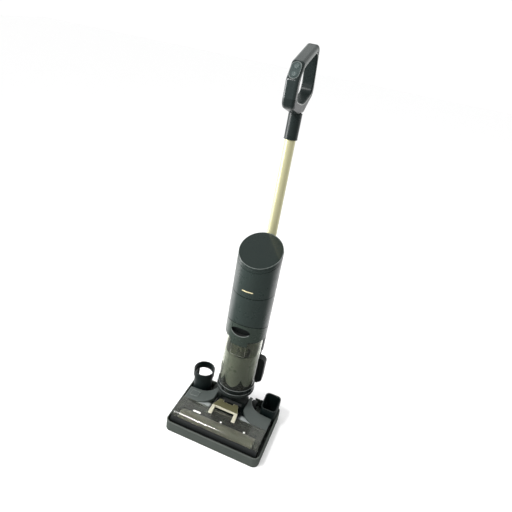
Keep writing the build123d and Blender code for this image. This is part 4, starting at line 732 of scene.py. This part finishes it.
def cable_loop(path, radius, closed=True, mesh_builder=None):
    """A round bead along a path of points."""
    rings = []
    count = len(path)
    for i, point in enumerate(path):
        before = path[i - 1] if closed or i else point
        after = path[(i + 1) % count] if closed or i < count - 1 else point
        along = (after - before).normalized()
        side = along.cross(BEAD_GUIDE).normalized()
        up = side.cross(along)
        rings.append([point + radius * (cos(angle) * side + sin(angle) * up)
                      for angle in circle(BEAD_SIDES)])
    if closed:
        return closed_loft(rings, mesh_builder)
    return loft(rings, mesh_builder=mesh_builder)


def line_width(kind):
    """Radius of a line of one kind, moulded or a painted highlight."""
    return bpy.context.scene.scrubber_sizes.line * LINE[kind]


def facing(origin, outward):
    """A place whose Z points outward."""
    z = outward.normalized()
    x = Vector((0, 0, 1)).cross(z).normalized()
    return Matrix.Translation(origin) @ Matrix((x, z.cross(x), z)).transposed().to_4x4()


def screw_head(made, place, radius):
    """A domed head with a six lobed recess."""
    rings = []
    for share, wave, height in SCREW_HEAD:
        ring = []
        for angle in circle(SCREW_SIDES):
            reach = radius * share * (1 + wave * cos(SCREW_LOBES * angle))
            ring.append(place @ Vector((reach * cos(angle), reach * sin(angle), height * MM)))
        rings.append(ring)
    loft(rings, mesh_builder=made)


def on_body(x, y, t):
    """A point of the body's own frame, from millimetres."""
    return BODY @ (Vector((x, y, t)) * MM)


def around(radius, angle, t):
    """A point at an angle from the front about the body's axis, from millimetres."""
    return on_body(radius * sin(angle), -radius * cos(angle), t)


def on_skin(x, t, proud=0.0):
    """A point on the front of the round body, from millimetres."""
    radius = BODY_RADIUS + proud
    return on_body(x, -sqrt(radius ** 2 - x ** 2), t)


def skin_section(angle, level, half, section):
    """A cross section on the round body at an angle from the front."""
    return [around(BODY_RADIUS + out, angle, level + rise * half) for out, rise in section]


def skin_band(level, half, reach, tilt=0.0):
    """A thin band round the body at a level or sloping height, as far as an angle on each side."""
    rings = []
    for i in range(BAND_STEPS + 1):
        angle = -reach + 2 * reach * i / BAND_STEPS
        height = level - BODY_RADIUS * cos(angle) * tan(tilt)
        rings.append(skin_section(angle, height, half, BAND_SECTION))
    return loft(rings)


def ring_path(middle, radius, level, tilt=0.0, steps=RING_STEPS):
    """A circle round the body's own axis or another, level or sloping, from millimetres."""
    path = []
    for angle in circle(steps):
        y = middle - radius * cos(angle)
        path.append(on_body(radius * sin(angle), y, level + y * tan(tilt)))
    return path


def rounded_outline(half_x, half_y, corner):
    """Points around a rectangle with round corners."""
    points = []
    for k, (sx, sy) in enumerate(((1, 1), (-1, 1), (-1, -1), (1, -1))):
        for i in range(CORNER_STEPS + 1):
            angle = pi / 2 * (k + i / CORNER_STEPS)
            points.append((sx * (half_x - corner) + corner * cos(angle),
                           sy * (half_y - corner) + corner * sin(angle)))
    return points


def soft_corners(points):
    """A closed path whose corners are rounded."""
    path = []
    for before, here, after in zip(points[-1:] + points[:-1], points, points[1:] + points[:1]):
        start = here.lerp(before, BEND_SHARE)
        end = here.lerp(after, BEND_SHARE)
        for i in range(BEND_STEPS + 1):
            share = i / BEND_STEPS
            path.append(start.lerp(here, share).lerp(here.lerp(end, share), share))
    return path


def node_reach(name):
    """The low and high corners of a node in the body's own frame, in millimetres."""
    turned = BODY.inverted()
    points = [turned @ vertex.co / MM for vertex in NODES[name].data.vertices]
    return [Vector([pick(point[k] for point in points) for k in range(3)]) for pick in (min, max)]


def outer_face(name, outward):
    """The node's face that lies furthest out: its middle, upward direction, sideways and upward half."""
    points = [vertex.co for vertex in NODES[name].data.vertices]
    top = max(point.dot(outward) for point in points)
    face = [point for point in points if point.dot(outward) > top - FACE_DEPTH]
    rise = outward.cross(ACROSS)
    if rise.z < 0:
        rise = -rise
    sides = [point.x for point in face]
    lifts = [point.dot(rise) for point in face]
    middle = ACROSS * (max(sides) + min(sides)) / 2 + rise * (max(lifts) + min(lifts)) / 2 + outward * top
    return middle, rise, (max(sides) - min(sides)) / 2, (max(lifts) - min(lifts)) / 2


# Dock

class SCRUBBER_OT_dock(bpy.types.Operator):
    """Finishes the dock, its holder, its box and its feet"""

    bl_idname = "scrubber.dock"
    bl_label = "Dock"

    def execute(self, context):
        dress("tray", "dock_tray", rounded=1.0)
        dress("holder", "spare_holder", "accessory_box", rounded=0.8)
        dress("rubber", "dock_foot_left", "dock_foot_right", rounded=0.5)
        dress("gloss", "dock_inlet", rounded=0.4)
        return {"FINISHED"}


# Floor head

def button_outline():
    """Moulded line on the roller button, sloping with the lobe."""
    low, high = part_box("roller_button")
    middle = (low + high) / 2
    half = (high - low) / 2
    inset = OUTLINE_INSET * MM
    path = []
    for x, y in rounded_outline(half.x - inset, half.y - inset, OUTLINE_CORNER * MM):
        path.append(Vector((middle.x + x, middle.y + y, high.z + LOBE_SLOPE * (x - half.x))))
    return cable_loop(path, line_width("thin"))


def cover_screws(name, sign, radius):
    """Screws on the outer face of an end cover."""
    low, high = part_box(name)
    outer = high.x if sign > 0 else low.x
    made = bmesh.new()
    for y, z in SCREW_PLACES:
        spot = Vector((outer, low.y + y * (high.y - low.y), low.z + z * (high.z - low.z)))
        screw_head(made, facing(spot, Vector((sign, 0, 0))), radius)
    return made


class SCRUBBER_OT_head(bpy.types.Operator):
    """Finishes the floor head and adds its screws"""

    bl_idname = "scrubber.head"
    bl_label = "Floor head"

    def execute(self, context):
        dress("base", "head_base", "bottom_plate", "neck_yoke", rounded=0.6)
        dress("base", "belt_cover", "end_cover", "spray_bar", rounded=0.6)
        dress("lobes", "head_cover", rounded=1.0)
        dress("valley", "valley_panel", rounded=0.5)
        dress("lobes", "roller_button", rounded=0.5)
        dress("rubber", "squeegee", "drive_belt", "wheel_left", "wheel_right")
        dress("steel", "brush_motor", "motor_pulley", "recline_pin", "wheel_axle_left",
              "wheel_axle_right")
        piece("button_outline", button_outline(), "outline", "roller_button")
        for name, sign in (("belt_cover", 1), ("end_cover", -1)):
            screws = cover_screws(name, sign, context.scene.scrubber_sizes.screw)
            piece(name + "_screws", screws, "steel", "head")
        return {"FINISHED"}


# Roller

def plush_rings(tuft):
    """Rings of the pile: winding lanes that lie flat, tufts between them and round ends."""
    low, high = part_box("roller_pile")
    middle = (low + high) / 2
    radius = (high.z - low.z) / 2
    rings = []
    for i in range(PILE_STATIONS + 1):
        share = i / PILE_STATIONS
        x = low.x + share * (high.x - low.x)
        shoulder = min(1.0, SHOULDER_RISE * min(share, 1 - share) + SHOULDER_START)
        full = radius * (SHOULDER_RADIUS + (1 - SHOULDER_RADIUS) * sqrt(shoulder))
        ring = []
        for angle in circle(PILE_TURNS):
            lane = 0.5 + 0.5 * sin(LANES * angle + LANE_TWIST * x)
            spot = Vector((x * TUFTS_ALONG, TUFTS_AROUND * cos(angle), TUFTS_AROUND * sin(angle)))
            reach = full - tuft * (LANE_SHARE * lane + (1 - LANE_SHARE) * abs(field.noise(spot)))
            ring.append(Vector((x, middle.y + reach * cos(angle), middle.z + reach * sin(angle))))
        rings.append(ring)
    return rings


class SCRUBBER_OT_roller(bpy.types.Operator):
    """Makes the plush roller"""

    bl_idname = "scrubber.roller"
    bl_label = "Roller"

    def execute(self, context):
        dress("roller_end", "roller_core", "roller_cap_left", "roller_cap_right", "drive_pulley")
        rings = plush_rings(context.scene.scrubber_sizes.tuft)
        pile = piece("plush_pile", loft(rings), "pile", "roller")
        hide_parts("roller_pile")
        return {"FINISHED"}


# Window

def bumper_and_shade_rings():
    """Soft black lip along the front of the window, drawn tall so that it also paints the shade in the gap
    above the dock's wall.
    """
    axis_y, axis_z = ROLLER_AXIS
    outside = [(WINDOW_RADIUS + BUMPER_PROUD, radians(angle)) for angle in BUMPER_SHADE_ANGLES]
    inside = [(WINDOW_RADIUS - BUMPER_SUNK, radians(angle)) for angle in reversed(BUMPER_SHADE_ANGLES)]
    rings = []
    for x in (-WINDOW_HALF, -WINDOW_HALF + BUMPER_END, WINDOW_HALF - BUMPER_END, WINDOW_HALF):
        rings.append([Vector((x, axis_y - radius * cos(angle), axis_z + radius * sin(angle))) * MM
                      for radius, angle in outside + inside])
    return rings


def glare_domes(radius):
    """White domes on the slope of the window, painted reflections of a row of lamps, the first one drawn
    out sideways.
    """
    axis_y, axis_z = ROLLER_AXIS
    upward = Vector((0, sin(WINDOW_SLOPE), cos(WINDOW_SLOPE)))
    along = Vector((0, cos(WINDOW_SLOPE), -sin(WINDOW_SLOPE)))
    crest = Vector((0, axis_y, axis_z)) * MM + upward * WINDOW_RADIUS * MM
    made = bmesh.new()
    for x, y, stretch in GLARE_SPOTS:
        spot = crest + along * (y * MM - crest.y) + ACROSS * x * MM
        rings = []
        for share, lift in GLARE_DOME:
            ring = []
            for angle in circle(GLARE_SIDES):
                reach = stretch * MM * (1 if cos(angle) > 0 else -1)
                ring.append(spot + ACROSS * (reach + radius * share * cos(angle))
                            + along * radius * share * sin(angle) + upward * lift * MM)
            rings.append(ring)
        loft(rings, mesh_builder=made)
    return made


class SCRUBBER_OT_window(bpy.types.Operator):
    """Finishes the clear window, its gold handle and its release button"""

    bl_idname = "scrubber.window"
    bl_label = "Window"

    def execute(self, context):
        dress("window", "window_cover", rounded=0.6)
        dress("gold", "window_handle", rounded=0.5)
        dress("gloss", "window_latch", rounded=0.6)
        # Black lip, partly a rubber lip and partly painted shade above the dock's wall.
        piece("window_bumper_and_shade", loft(bumper_and_shade_rings()), "rubber", "window")
        # White domes under the window: painted reflections of lamps.
        piece("window_glare_spots", glare_domes(context.scene.scrubber_sizes.glare_radius), "spot", "window")
        return {"FINISHED"}


# Body

def trim_bar(half_angle, height):
    """Slim bar round the front of the body that thins at both ends."""
    rings = []
    for i in range(BAR_STEPS + 1):
        angle = -half_angle + 2 * half_angle * i / BAR_STEPS
        half = height / MM * (1 - BAR_TAPER * abs(2 * i / BAR_STEPS - 1) ** BAR_SHARPNESS) / 2
        rings.append(skin_section(angle, BAR_LEVEL, half, BAR_SECTION))
    return loft(rings)


def air_slots(count):
    """Dark plates with round ends on both sides of the body: painted shade that stands for the open air
    slots.
    """
    made = bmesh.new()
    for side in (-1, 1):
        for k in range(count):
            rings = []
            for i in range(VENT_STEPS + 1):
                angle = side * (VENT_START + VENT_REACH * i / VENT_STEPS)
                half = VENT_HALF * sqrt(max(VENT_TIP, 1 - abs(2 * i / VENT_STEPS - 1) ** VENT_SHARPNESS))
                rings.append(skin_section(angle, VENT_LEVEL + VENT_PITCH * k, half, VENT_SECTION))
            loft(rings, mesh_builder=made)
    return made


class SCRUBBER_OT_body(bpy.types.Operator):
    """Finishes the cradle, the housings and the display, and adds the trim bar and the vents as dark
    plates of painted shade
    """

    bl_idname = "scrubber.body"
    bl_label = "Body"

    def execute(self, context):
        sizes = context.scene.scrubber_sizes
        dress("base", "cradle", "spine", rounded=1.0)
        dress("body", "mid_housing", "upper_housing", "tube_socket", rounded=0.7)
        dress("ring", "bezel_ring", rounded=0.9)
        dress("lens", "display_lens", rounded=0.6)
        dress("fan", "fan_motor")
        dress("battery", "battery_pack")
        dress("pump", "water_pump")
        dress("board", "main_board")
        bar = trim_bar(sizes.bar_half_angle, sizes.bar_height)
        piece("front_trim_bar", bar, "trim", "frame")
        # Light bead round the display's rim: a painted highlight.
        rim = ring_path(0, BODY_RADIUS - DISPLAY_HIGHLIGHT_INSET, DISPLAY_LEVEL - DISPLAY_HIGHLIGHT_DROP,
                        DISPLAY_TILT)
        piece("display_rim_highlight", cable_loop(rim, line_width("thin")), "outline", "frame")
        piece("housing_seam", skin_band(SEAM_LEVEL, *SEAM_BAND), "seam", "frame")
        piece("air_slots", air_slots(sizes.vents), "seam", "frame")
        return {"FINISHED"}


# Handle

def hole_rim_highlights():
    """Painted highlights along the rim of the finger hole on both flanks."""
    made = bmesh.new()
    for side in (-1, 1):
        rim = [on_body(side * HANDLE_HALF, TUBE_OFFSET + y, SLEEVE_RANGE[1] + t) for y, t in HOLE_RIM]
        cable_loop(soft_corners(rim), line_width("rim"), mesh_builder=made)
    return made


def pod_outline(outward):
    """Moulded line round the pill shaped pod."""
    middle, rise, half, lift = outer_face("button_pod", outward)
    path = []
    for angle in circle(PILL_STEPS):
        reach = (lift - half) * (1 if sin(angle) > 0 else -1)
        path.append(middle + ACROSS * half * cos(angle) + rise * (reach + half * sin(angle)))
    return cable_loop(path, line_width("thin"))


def power_sign(outward):
    """A broken ring with a stroke in its gap."""
    middle, rise, half = outer_face("power_button", outward)[:3]
    ring = []
    for i in range(POWER_STEPS + 1):
        angle = POWER_START + POWER_SWEEP * i / POWER_STEPS
        ring.append(middle + (ACROSS * cos(angle) + rise * sin(angle)) * half * POWER_RING)
    made = cable_loop(ring, line_width("sign"), closed=False)
    stroke = [middle + rise * half * share for share in POWER_STROKE]
    return cable_loop(stroke, line_width("sign"), closed=False, mesh_builder=made)


def drop_sign(outward):
    """The outline of a drop of water."""
    middle, rise, half = outer_face("mode_button", outward)[:3]
    path = []
    for angle in circle(DROP_STEPS):
        upper = max(0.0, sin(angle))
        across = DROP_WIDTH * cos(angle) * (1 - upper) ** DROP_SHARPNESS
        height = DROP_HEIGHT * sin(angle) + DROP_TIP * upper - DROP_LOWERED
        path.append(middle + ACROSS * half * across + rise * half * height)
    return cable_loop(path, line_width("sign"))


class SCRUBBER_OT_handle(bpy.types.Operator):
    """Finishes the tube, the sleeve, the loop handle and its buttons"""

    bl_idname = "scrubber.handle"
    bl_label = "Handle"

    def execute(self, context):
        dress("tube", "tube")
        dress("grip", "neck_sleeve", rounded=0.6)
        # Front shell in the lighter grip: painted highlight on the handle's top.
        dress("grip_lit", "handle_front", rounded=0.5)
        dress("grip", "handle_rear", rounded=0.5)
        dress("pod", "button_pod", rounded=0.4)
        dress("button", "power_button", "mode_button", rounded=0.5)
        # Painted highlights round the finger hole.
        piece("hole_rim_highlight", hole_rim_highlights(), "glint", "frame")
        rim = ring_path(TUBE_OFFSET, SLEEVE_RADIUS - SLEEVE_RING_INSET,
                        SLEEVE_RANGE[0] + SLEEVE_RING_RISE, steps=SLEEVE_STEPS)
        piece("sleeve_ring", cable_loop(rim, line_width("sleeve")), "rubber", "frame")
        outward = -Vector(JOINTS["power_button_press"]["axis"]).normalized()
        piece("pod_outline", pod_outline(outward), "outline", "frame")
        piece("power_icon", power_sign(outward), "icon", "power_button")
        piece("mode_icon", drop_sign(outward), "icon", "mode_button")
        return {"FINISHED"}


# Dirty water tank

def tank_liner_glowing(strainer_low):
    """Milky sleeve in the cup: low in front, and up to the top behind."""
    bottom, full = CUP_RANGE
    low = strainer_low - LINER_DROP
    outer, inner = [CUP_INNER - inset for inset in LINER_INSET]
    rings = []
    for angle in circle(LINER_STEPS):
        share = min(1.0, max(0.0, (LINER_BACK - abs(angle - pi)) / LINER_BLEND))
        top = low + share * (full - low)
        rings.append([around(outer, angle, bottom), around(outer, angle, top), around(inner, angle, top),
                      around(inner, angle, bottom)])
    return closed_loft(rings)


def strainer_rim_highlights(low, high):
    """Painted highlights on the edges round the front and the top of the strainer box."""
    middle = (low + high) / 2
    half = (high - low) / 2 - Vector((STRAINER_INSET, STRAINER_INSET, STRAINER_INSET))
    front = [on_body(middle.x + x, low.y, middle.z + t)
             for x, t in rounded_outline(half.x, half.z, STRAINER_CORNER)]
    top = [on_body(middle.x + x, middle.y + y, high.z)
           for x, y in rounded_outline(half.x, half.y, STRAINER_CORNER)]
    made = bmesh.new()
    for path in (front, top):
        cable_loop(path, line_width("rim"), mesh_builder=made)
    return made


def foot_rim_highlights():
    """Painted highlights round the front of the tank's foot, at its upper rim and above its lower edge."""
    low, high = node_reach("tank_base")
    made = bmesh.new()
    for level, (inset, rise) in ((high.z, FOOT_TOP), (low.z, FOOT_LOW)):
        path = ring_path(0.0, high.x - inset, level + rise)
        front = path[-FOOT_REACH:] + path[:FOOT_REACH + 1]
        cable_loop(front, line_width("foot"), closed=False, mesh_builder=made)
    return made


def recess_shade_liner():
    """Dark wall of the finger recess, from its oval edge to the latch pad: painted shade in the hollow."""
    wide, tall = RECESS_HALF
    inset, sunk = RECESS_SKIN
    angles = circle(RECESS_STEPS)
    rings = [[on_skin((wide - inset) * cos(angle), RECESS_LEVEL + (tall - inset) * sin(angle), sunk)
              for angle in angles]]
    for half_x, half_t in ((wide - RECESS_LAP, tall - RECESS_LAP), PAD_HALF):
        rings.append([on_body(half_x * cos(angle), RECESS_REAR - RECESS_GAP,
                              RECESS_LEVEL + half_t * sin(angle)) for angle in angles])
    for ring in rings:
        ring.append(ring[0])
    return loft(rings, close_ring=False, ends=False)


def recess_lip():
    """Light on the lower lip of the recess."""
    wide, tall = RECESS_HALF
    path = [on_skin(wide * cos(radians(angle)), RECESS_LEVEL + tall * sin(radians(angle)), LIP_PROUD)
            for angle in LIP_ARC]
    return cable_loop(path, line_width("lip"), closed=False)


def recess_notch():
    """Short dark line that rises from the left corner of the recess."""
    start_x, start_t = NOTCH_START
    step_x, step_t = NOTCH_STEP
    path = [on_skin(-RECESS_HALF[0] + start_x + step_x * k, RECESS_LEVEL + start_t + step_t * k)
            for k in range(NOTCH_POINTS)]
    return cable_loop(path, line_width("notch"), closed=False)


class SCRUBBER_OT_dirty_tank(bpy.types.Operator):
    """Finishes the dirty water tank and what is in it"""

    bl_idname = "scrubber.dirty_tank"
    bl_label = "Dirty water tank"

    def execute(self, context):
        dress("smoke", "tank_cup", rounded=0.5)
        dress("inner_smoke", "strainer_box", rounded=0.6)
        dress("gloss", "tank_base", rounded=1.0)
        dress("petal", "petal_cup")
        dress("lid", "tank_lid", rounded=0.8)
        # Latch in the recess's near black: painted shade.
        dress("recess", "lid_latch", rounded=0.6)
        dress("pipe", "suction_pipe", "tank_float")
        low, high = node_reach("strainer_box")
        piece("tank_liner_glowing", tank_liner_glowing(low.z), "liner", "dirty_tank")
        piece("strainer_rim_highlights", strainer_rim_highlights(low, high), "spot", "dirty_tank")
        # Light lines on the tank's foot: painted highlights.
        piece("foot_rim_highlights", foot_rim_highlights(), "outline", "dirty_tank")
        lid_seam = skin_band(LID_SEAM_LEVEL, *LID_BAND, tilt=LID_TILT)
        piece("lid_seam", lid_seam, "seam", "dirty_tank")
        piece("recess_shade_liner", recess_shade_liner(), "recess", "dirty_tank")
        piece("recess_lip", recess_lip(), "outline", "dirty_tank")
        piece("recess_notch", recess_notch(), "seam", "dirty_tank")
        return {"FINISHED"}


# Clean water tank

def level_marks():
    """Short and long strokes up the back of the clean tank."""
    low, high = node_reach("clean_tank")
    made = bmesh.new()
    for k in range(MARK_COUNT):
        level = low.z + (high.z - low.z) * (MARK_START + MARK_PITCH * k)
        start = low.x * MARK_EDGE
        end = start + (high.x - low.x) * MARK_WIDTH * (MARK_LONG if k % 2 else MARK_SHORT)
        stroke = [on_body(x, high.y, level) for x in (start, end)]
        cable_loop(stroke, line_width("mark"), closed=False, mesh_builder=made)
    return made


class SCRUBBER_OT_clean_tank(bpy.types.Operator):
    """Finishes the clean water tank and its filler cap"""

    bl_idname = "scrubber.clean_tank"
    bl_label = "Clean water tank"

    def execute(self, context):
        dress("clean", "clean_tank", rounded=1.0)
        dress("base", "clean_cap", rounded=0.6)
        piece("level_marks", level_marks(), "outline", "clean_tank")
        return {"FINISHED"}


# Stage

def area_light(name, place, aim, size, power):
    """A soft rectangular light that looks at a point."""
    data = bpy.data.lights.new(name, "AREA")
    data.shape = "RECTANGLE"
    data.size, data.size_y = size
    data.energy = power
    light = bpy.data.objects.new(name, data)
    light.location = place
    light.rotation_euler = (Vector(aim) - Vector(place)).to_track_quat("-Z", "Y").to_euler()
    bpy.context.scene.collection.objects.link(light)


def studio_dome(strength, rearward):
    """White light all round. Gloss mirrors a bright wall behind the object and a dim front and ceiling."""
    world = bpy.data.worlds.new("studio")
    world.use_nodes = True
    tree = world.node_tree
    final = tree.nodes["World Output"]
    even = tree.nodes["Background"]
    even.inputs["Color"].default_value = (1, 1, 1, 1)
    even.inputs["Strength"].default_value = strength
    place = put(tree, "ShaderNodeTexCoord")
    behind = put(tree, "ShaderNodeVectorMath", {1: (rearward.x, rearward.y, WALL_DIP)},
                 operation="DOT_PRODUCT")
    wall = put(tree, "ShaderNodeMapRange",
               {"From Min": -0.3, "From Max": 0.9, "To Min": 0.10, "To Max": 0.95},
               interpolation_type="SMOOTHSTEP")
    mirrored = put(tree, "ShaderNodeBackground", {"Color": (0.97, 1.0, 0.985, 1)})
    path = put(tree, "ShaderNodeLightPath")
    mix = put(tree, "ShaderNodeMixShader")
    join(tree, (place, "Generated", behind, 0), (behind, "Value", wall, "Value"),
         (wall, "Result", mirrored, "Strength"), (path, "Is Glossy Ray", mix, 0), (even, 0, mix, 1),
         (mirrored, 0, mix, 2), (mix, 0, final, "Surface"))
    return world


def sweep_floor(rearward):
    """White sweep whose front half looks dim when gloss mirrors it."""
    material, tree, main = shader("floor_white", Roughness=0.9, Specular_IOR_Level=0.1)
    place = put(tree, "ShaderNodeNewGeometry")
    behind = put(tree, "ShaderNodeVectorMath", {1: rearward}, operation="DOT_PRODUCT")
    front = put(tree, "ShaderNodeMapRange", {"From Min": 0.30, "From Max": -0.05},
                interpolation_type="SMOOTHSTEP")
    path = put(tree, "ShaderNodeLightPath")
    dim = put(tree, "ShaderNodeMath", operation="MULTIPLY")
    mix = put(tree, "ShaderNodeMix", {"A": (0.97, 0.97, 0.97, 1), "B": (0.10, 0.115, 0.11, 1)},
              data_type="RGBA")
    join(tree, (place, "Position", behind, 0), (behind, "Value", front, "Value"),
         (front, "Result", dim, 0), (path, "Is Glossy Ray", dim, 1), (dim, 0, mix, "Factor"),
         (mix, "Result", main, "Base Color"))
    return material


def camera_place(stage):
    """Where the camera stands and how it is turned."""
    back = Vector((sin(stage.azimuth) * cos(stage.elevation), -cos(stage.azimuth) * cos(stage.elevation),
                   sin(stage.elevation)))
    level = Vector((0, 0, 1)).cross(back).normalized()
    upright = back.cross(level)
    right = cos(stage.roll) * level + sin(stage.roll) * upright
    up = -sin(stage.roll) * level + cos(stage.roll) * upright
    spot = Vector((0, 0, stage.aim)) + back * stage.distance
    return Matrix.Translation(spot) @ Matrix((right, up, back)).transposed().to_4x4()


class SCRUBBER_OT_stage(bpy.types.Operator):
    """Makes the floor, the lights and the camera"""

    bl_idname = "scrubber.stage"
    bl_label = "Stage"

    def execute(self, context):
        scene = context.scene
        stage = scene.scrubber_stage
        rearward = Vector((-sin(stage.azimuth), cos(stage.azimuth), 0))
        made = bmesh.new()
        for x, y in ((-1, -1), (1, -1), (1, 1), (-1, 1)):
            made.verts.new((x * FLOOR_HALF, y * FLOOR_HALF, 0))
        made.faces.new(made.verts[:])
        mesh = bpy.data.meshes.new("floor")
        made.to_mesh(mesh)
        made.free()
        mesh.materials.append(sweep_floor(rearward))
        floor = bpy.data.objects.new("floor", mesh)
        scene.collection.objects.link(floor)
        scene.world = studio_dome(stage.sky, rearward)
        for name, (place, aim, size, setting, share) in LIGHTS.items():
            area_light(name, place, aim, size, getattr(stage, setting) * share)
        scene.view_settings.view_transform = "Standard"
        camera = bpy.data.objects.new("camera", bpy.data.cameras.new("camera"))
        camera.data.lens = stage.lens
        camera.data.sensor_width = SENSOR
        camera.data.shift_x, camera.data.shift_y = stage.shift
        camera.matrix_world = camera_place(stage)
        scene.collection.objects.link(camera)
        scene.camera = camera
        return {"FINISHED"}


GROUP_CLASSES = {
    "scrubber_finish": ScrubberFinish,
    "scrubber_sizes": ScrubberSizes,
    "scrubber_stage": StageSettings,
}
OPERATORS = (SCRUBBER_OT_dock, SCRUBBER_OT_head, SCRUBBER_OT_roller, SCRUBBER_OT_window, SCRUBBER_OT_body,
             SCRUBBER_OT_handle, SCRUBBER_OT_dirty_tank, SCRUBBER_OT_clean_tank, SCRUBBER_OT_stage)


class SCRUBBER_PT_panel(bpy.types.Panel):
    """Lists the settings and the pieces in the sidebar"""

    bl_idname = "SCRUBBER_PT_panel"
    bl_label = "Floor scrubber"
    bl_space_type = "VIEW_3D"
    bl_region_type = "UI"
    bl_category = "Scrubber"

    def draw(self, context):
        for name in GROUP_CLASSES:
            group = getattr(context.scene, name)
            column = self.layout.column(align=True)
            for key in group.__annotations__:
                column.prop(group, key)
        for operator in OPERATORS:
            self.layout.operator(operator.bl_idname)


def register():
    for name, group in GROUP_CLASSES.items():
        bpy.utils.register_class(group)
        setattr(bpy.types.Scene, name, PointerProperty(type=group))
    for operator in OPERATORS:
        bpy.utils.register_class(operator)
    bpy.utils.register_class(SCRUBBER_PT_panel)


def unregister():
    bpy.utils.unregister_class(SCRUBBER_PT_panel)
    for operator in reversed(OPERATORS):
        bpy.utils.unregister_class(operator)
    for name, group in GROUP_CLASSES.items():
        delattr(bpy.types.Scene, name)
        bpy.utils.unregister_class(group)


def main():
    """Builds every piece and the stage."""
    register()
    make_materials(bpy.context.scene.scrubber_finish)
    for operator in OPERATORS:
        group, name = operator.bl_idname.split(".")
        getattr(getattr(bpy.ops, group), name)()
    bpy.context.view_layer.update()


if __name__ == "__main__":
    main()
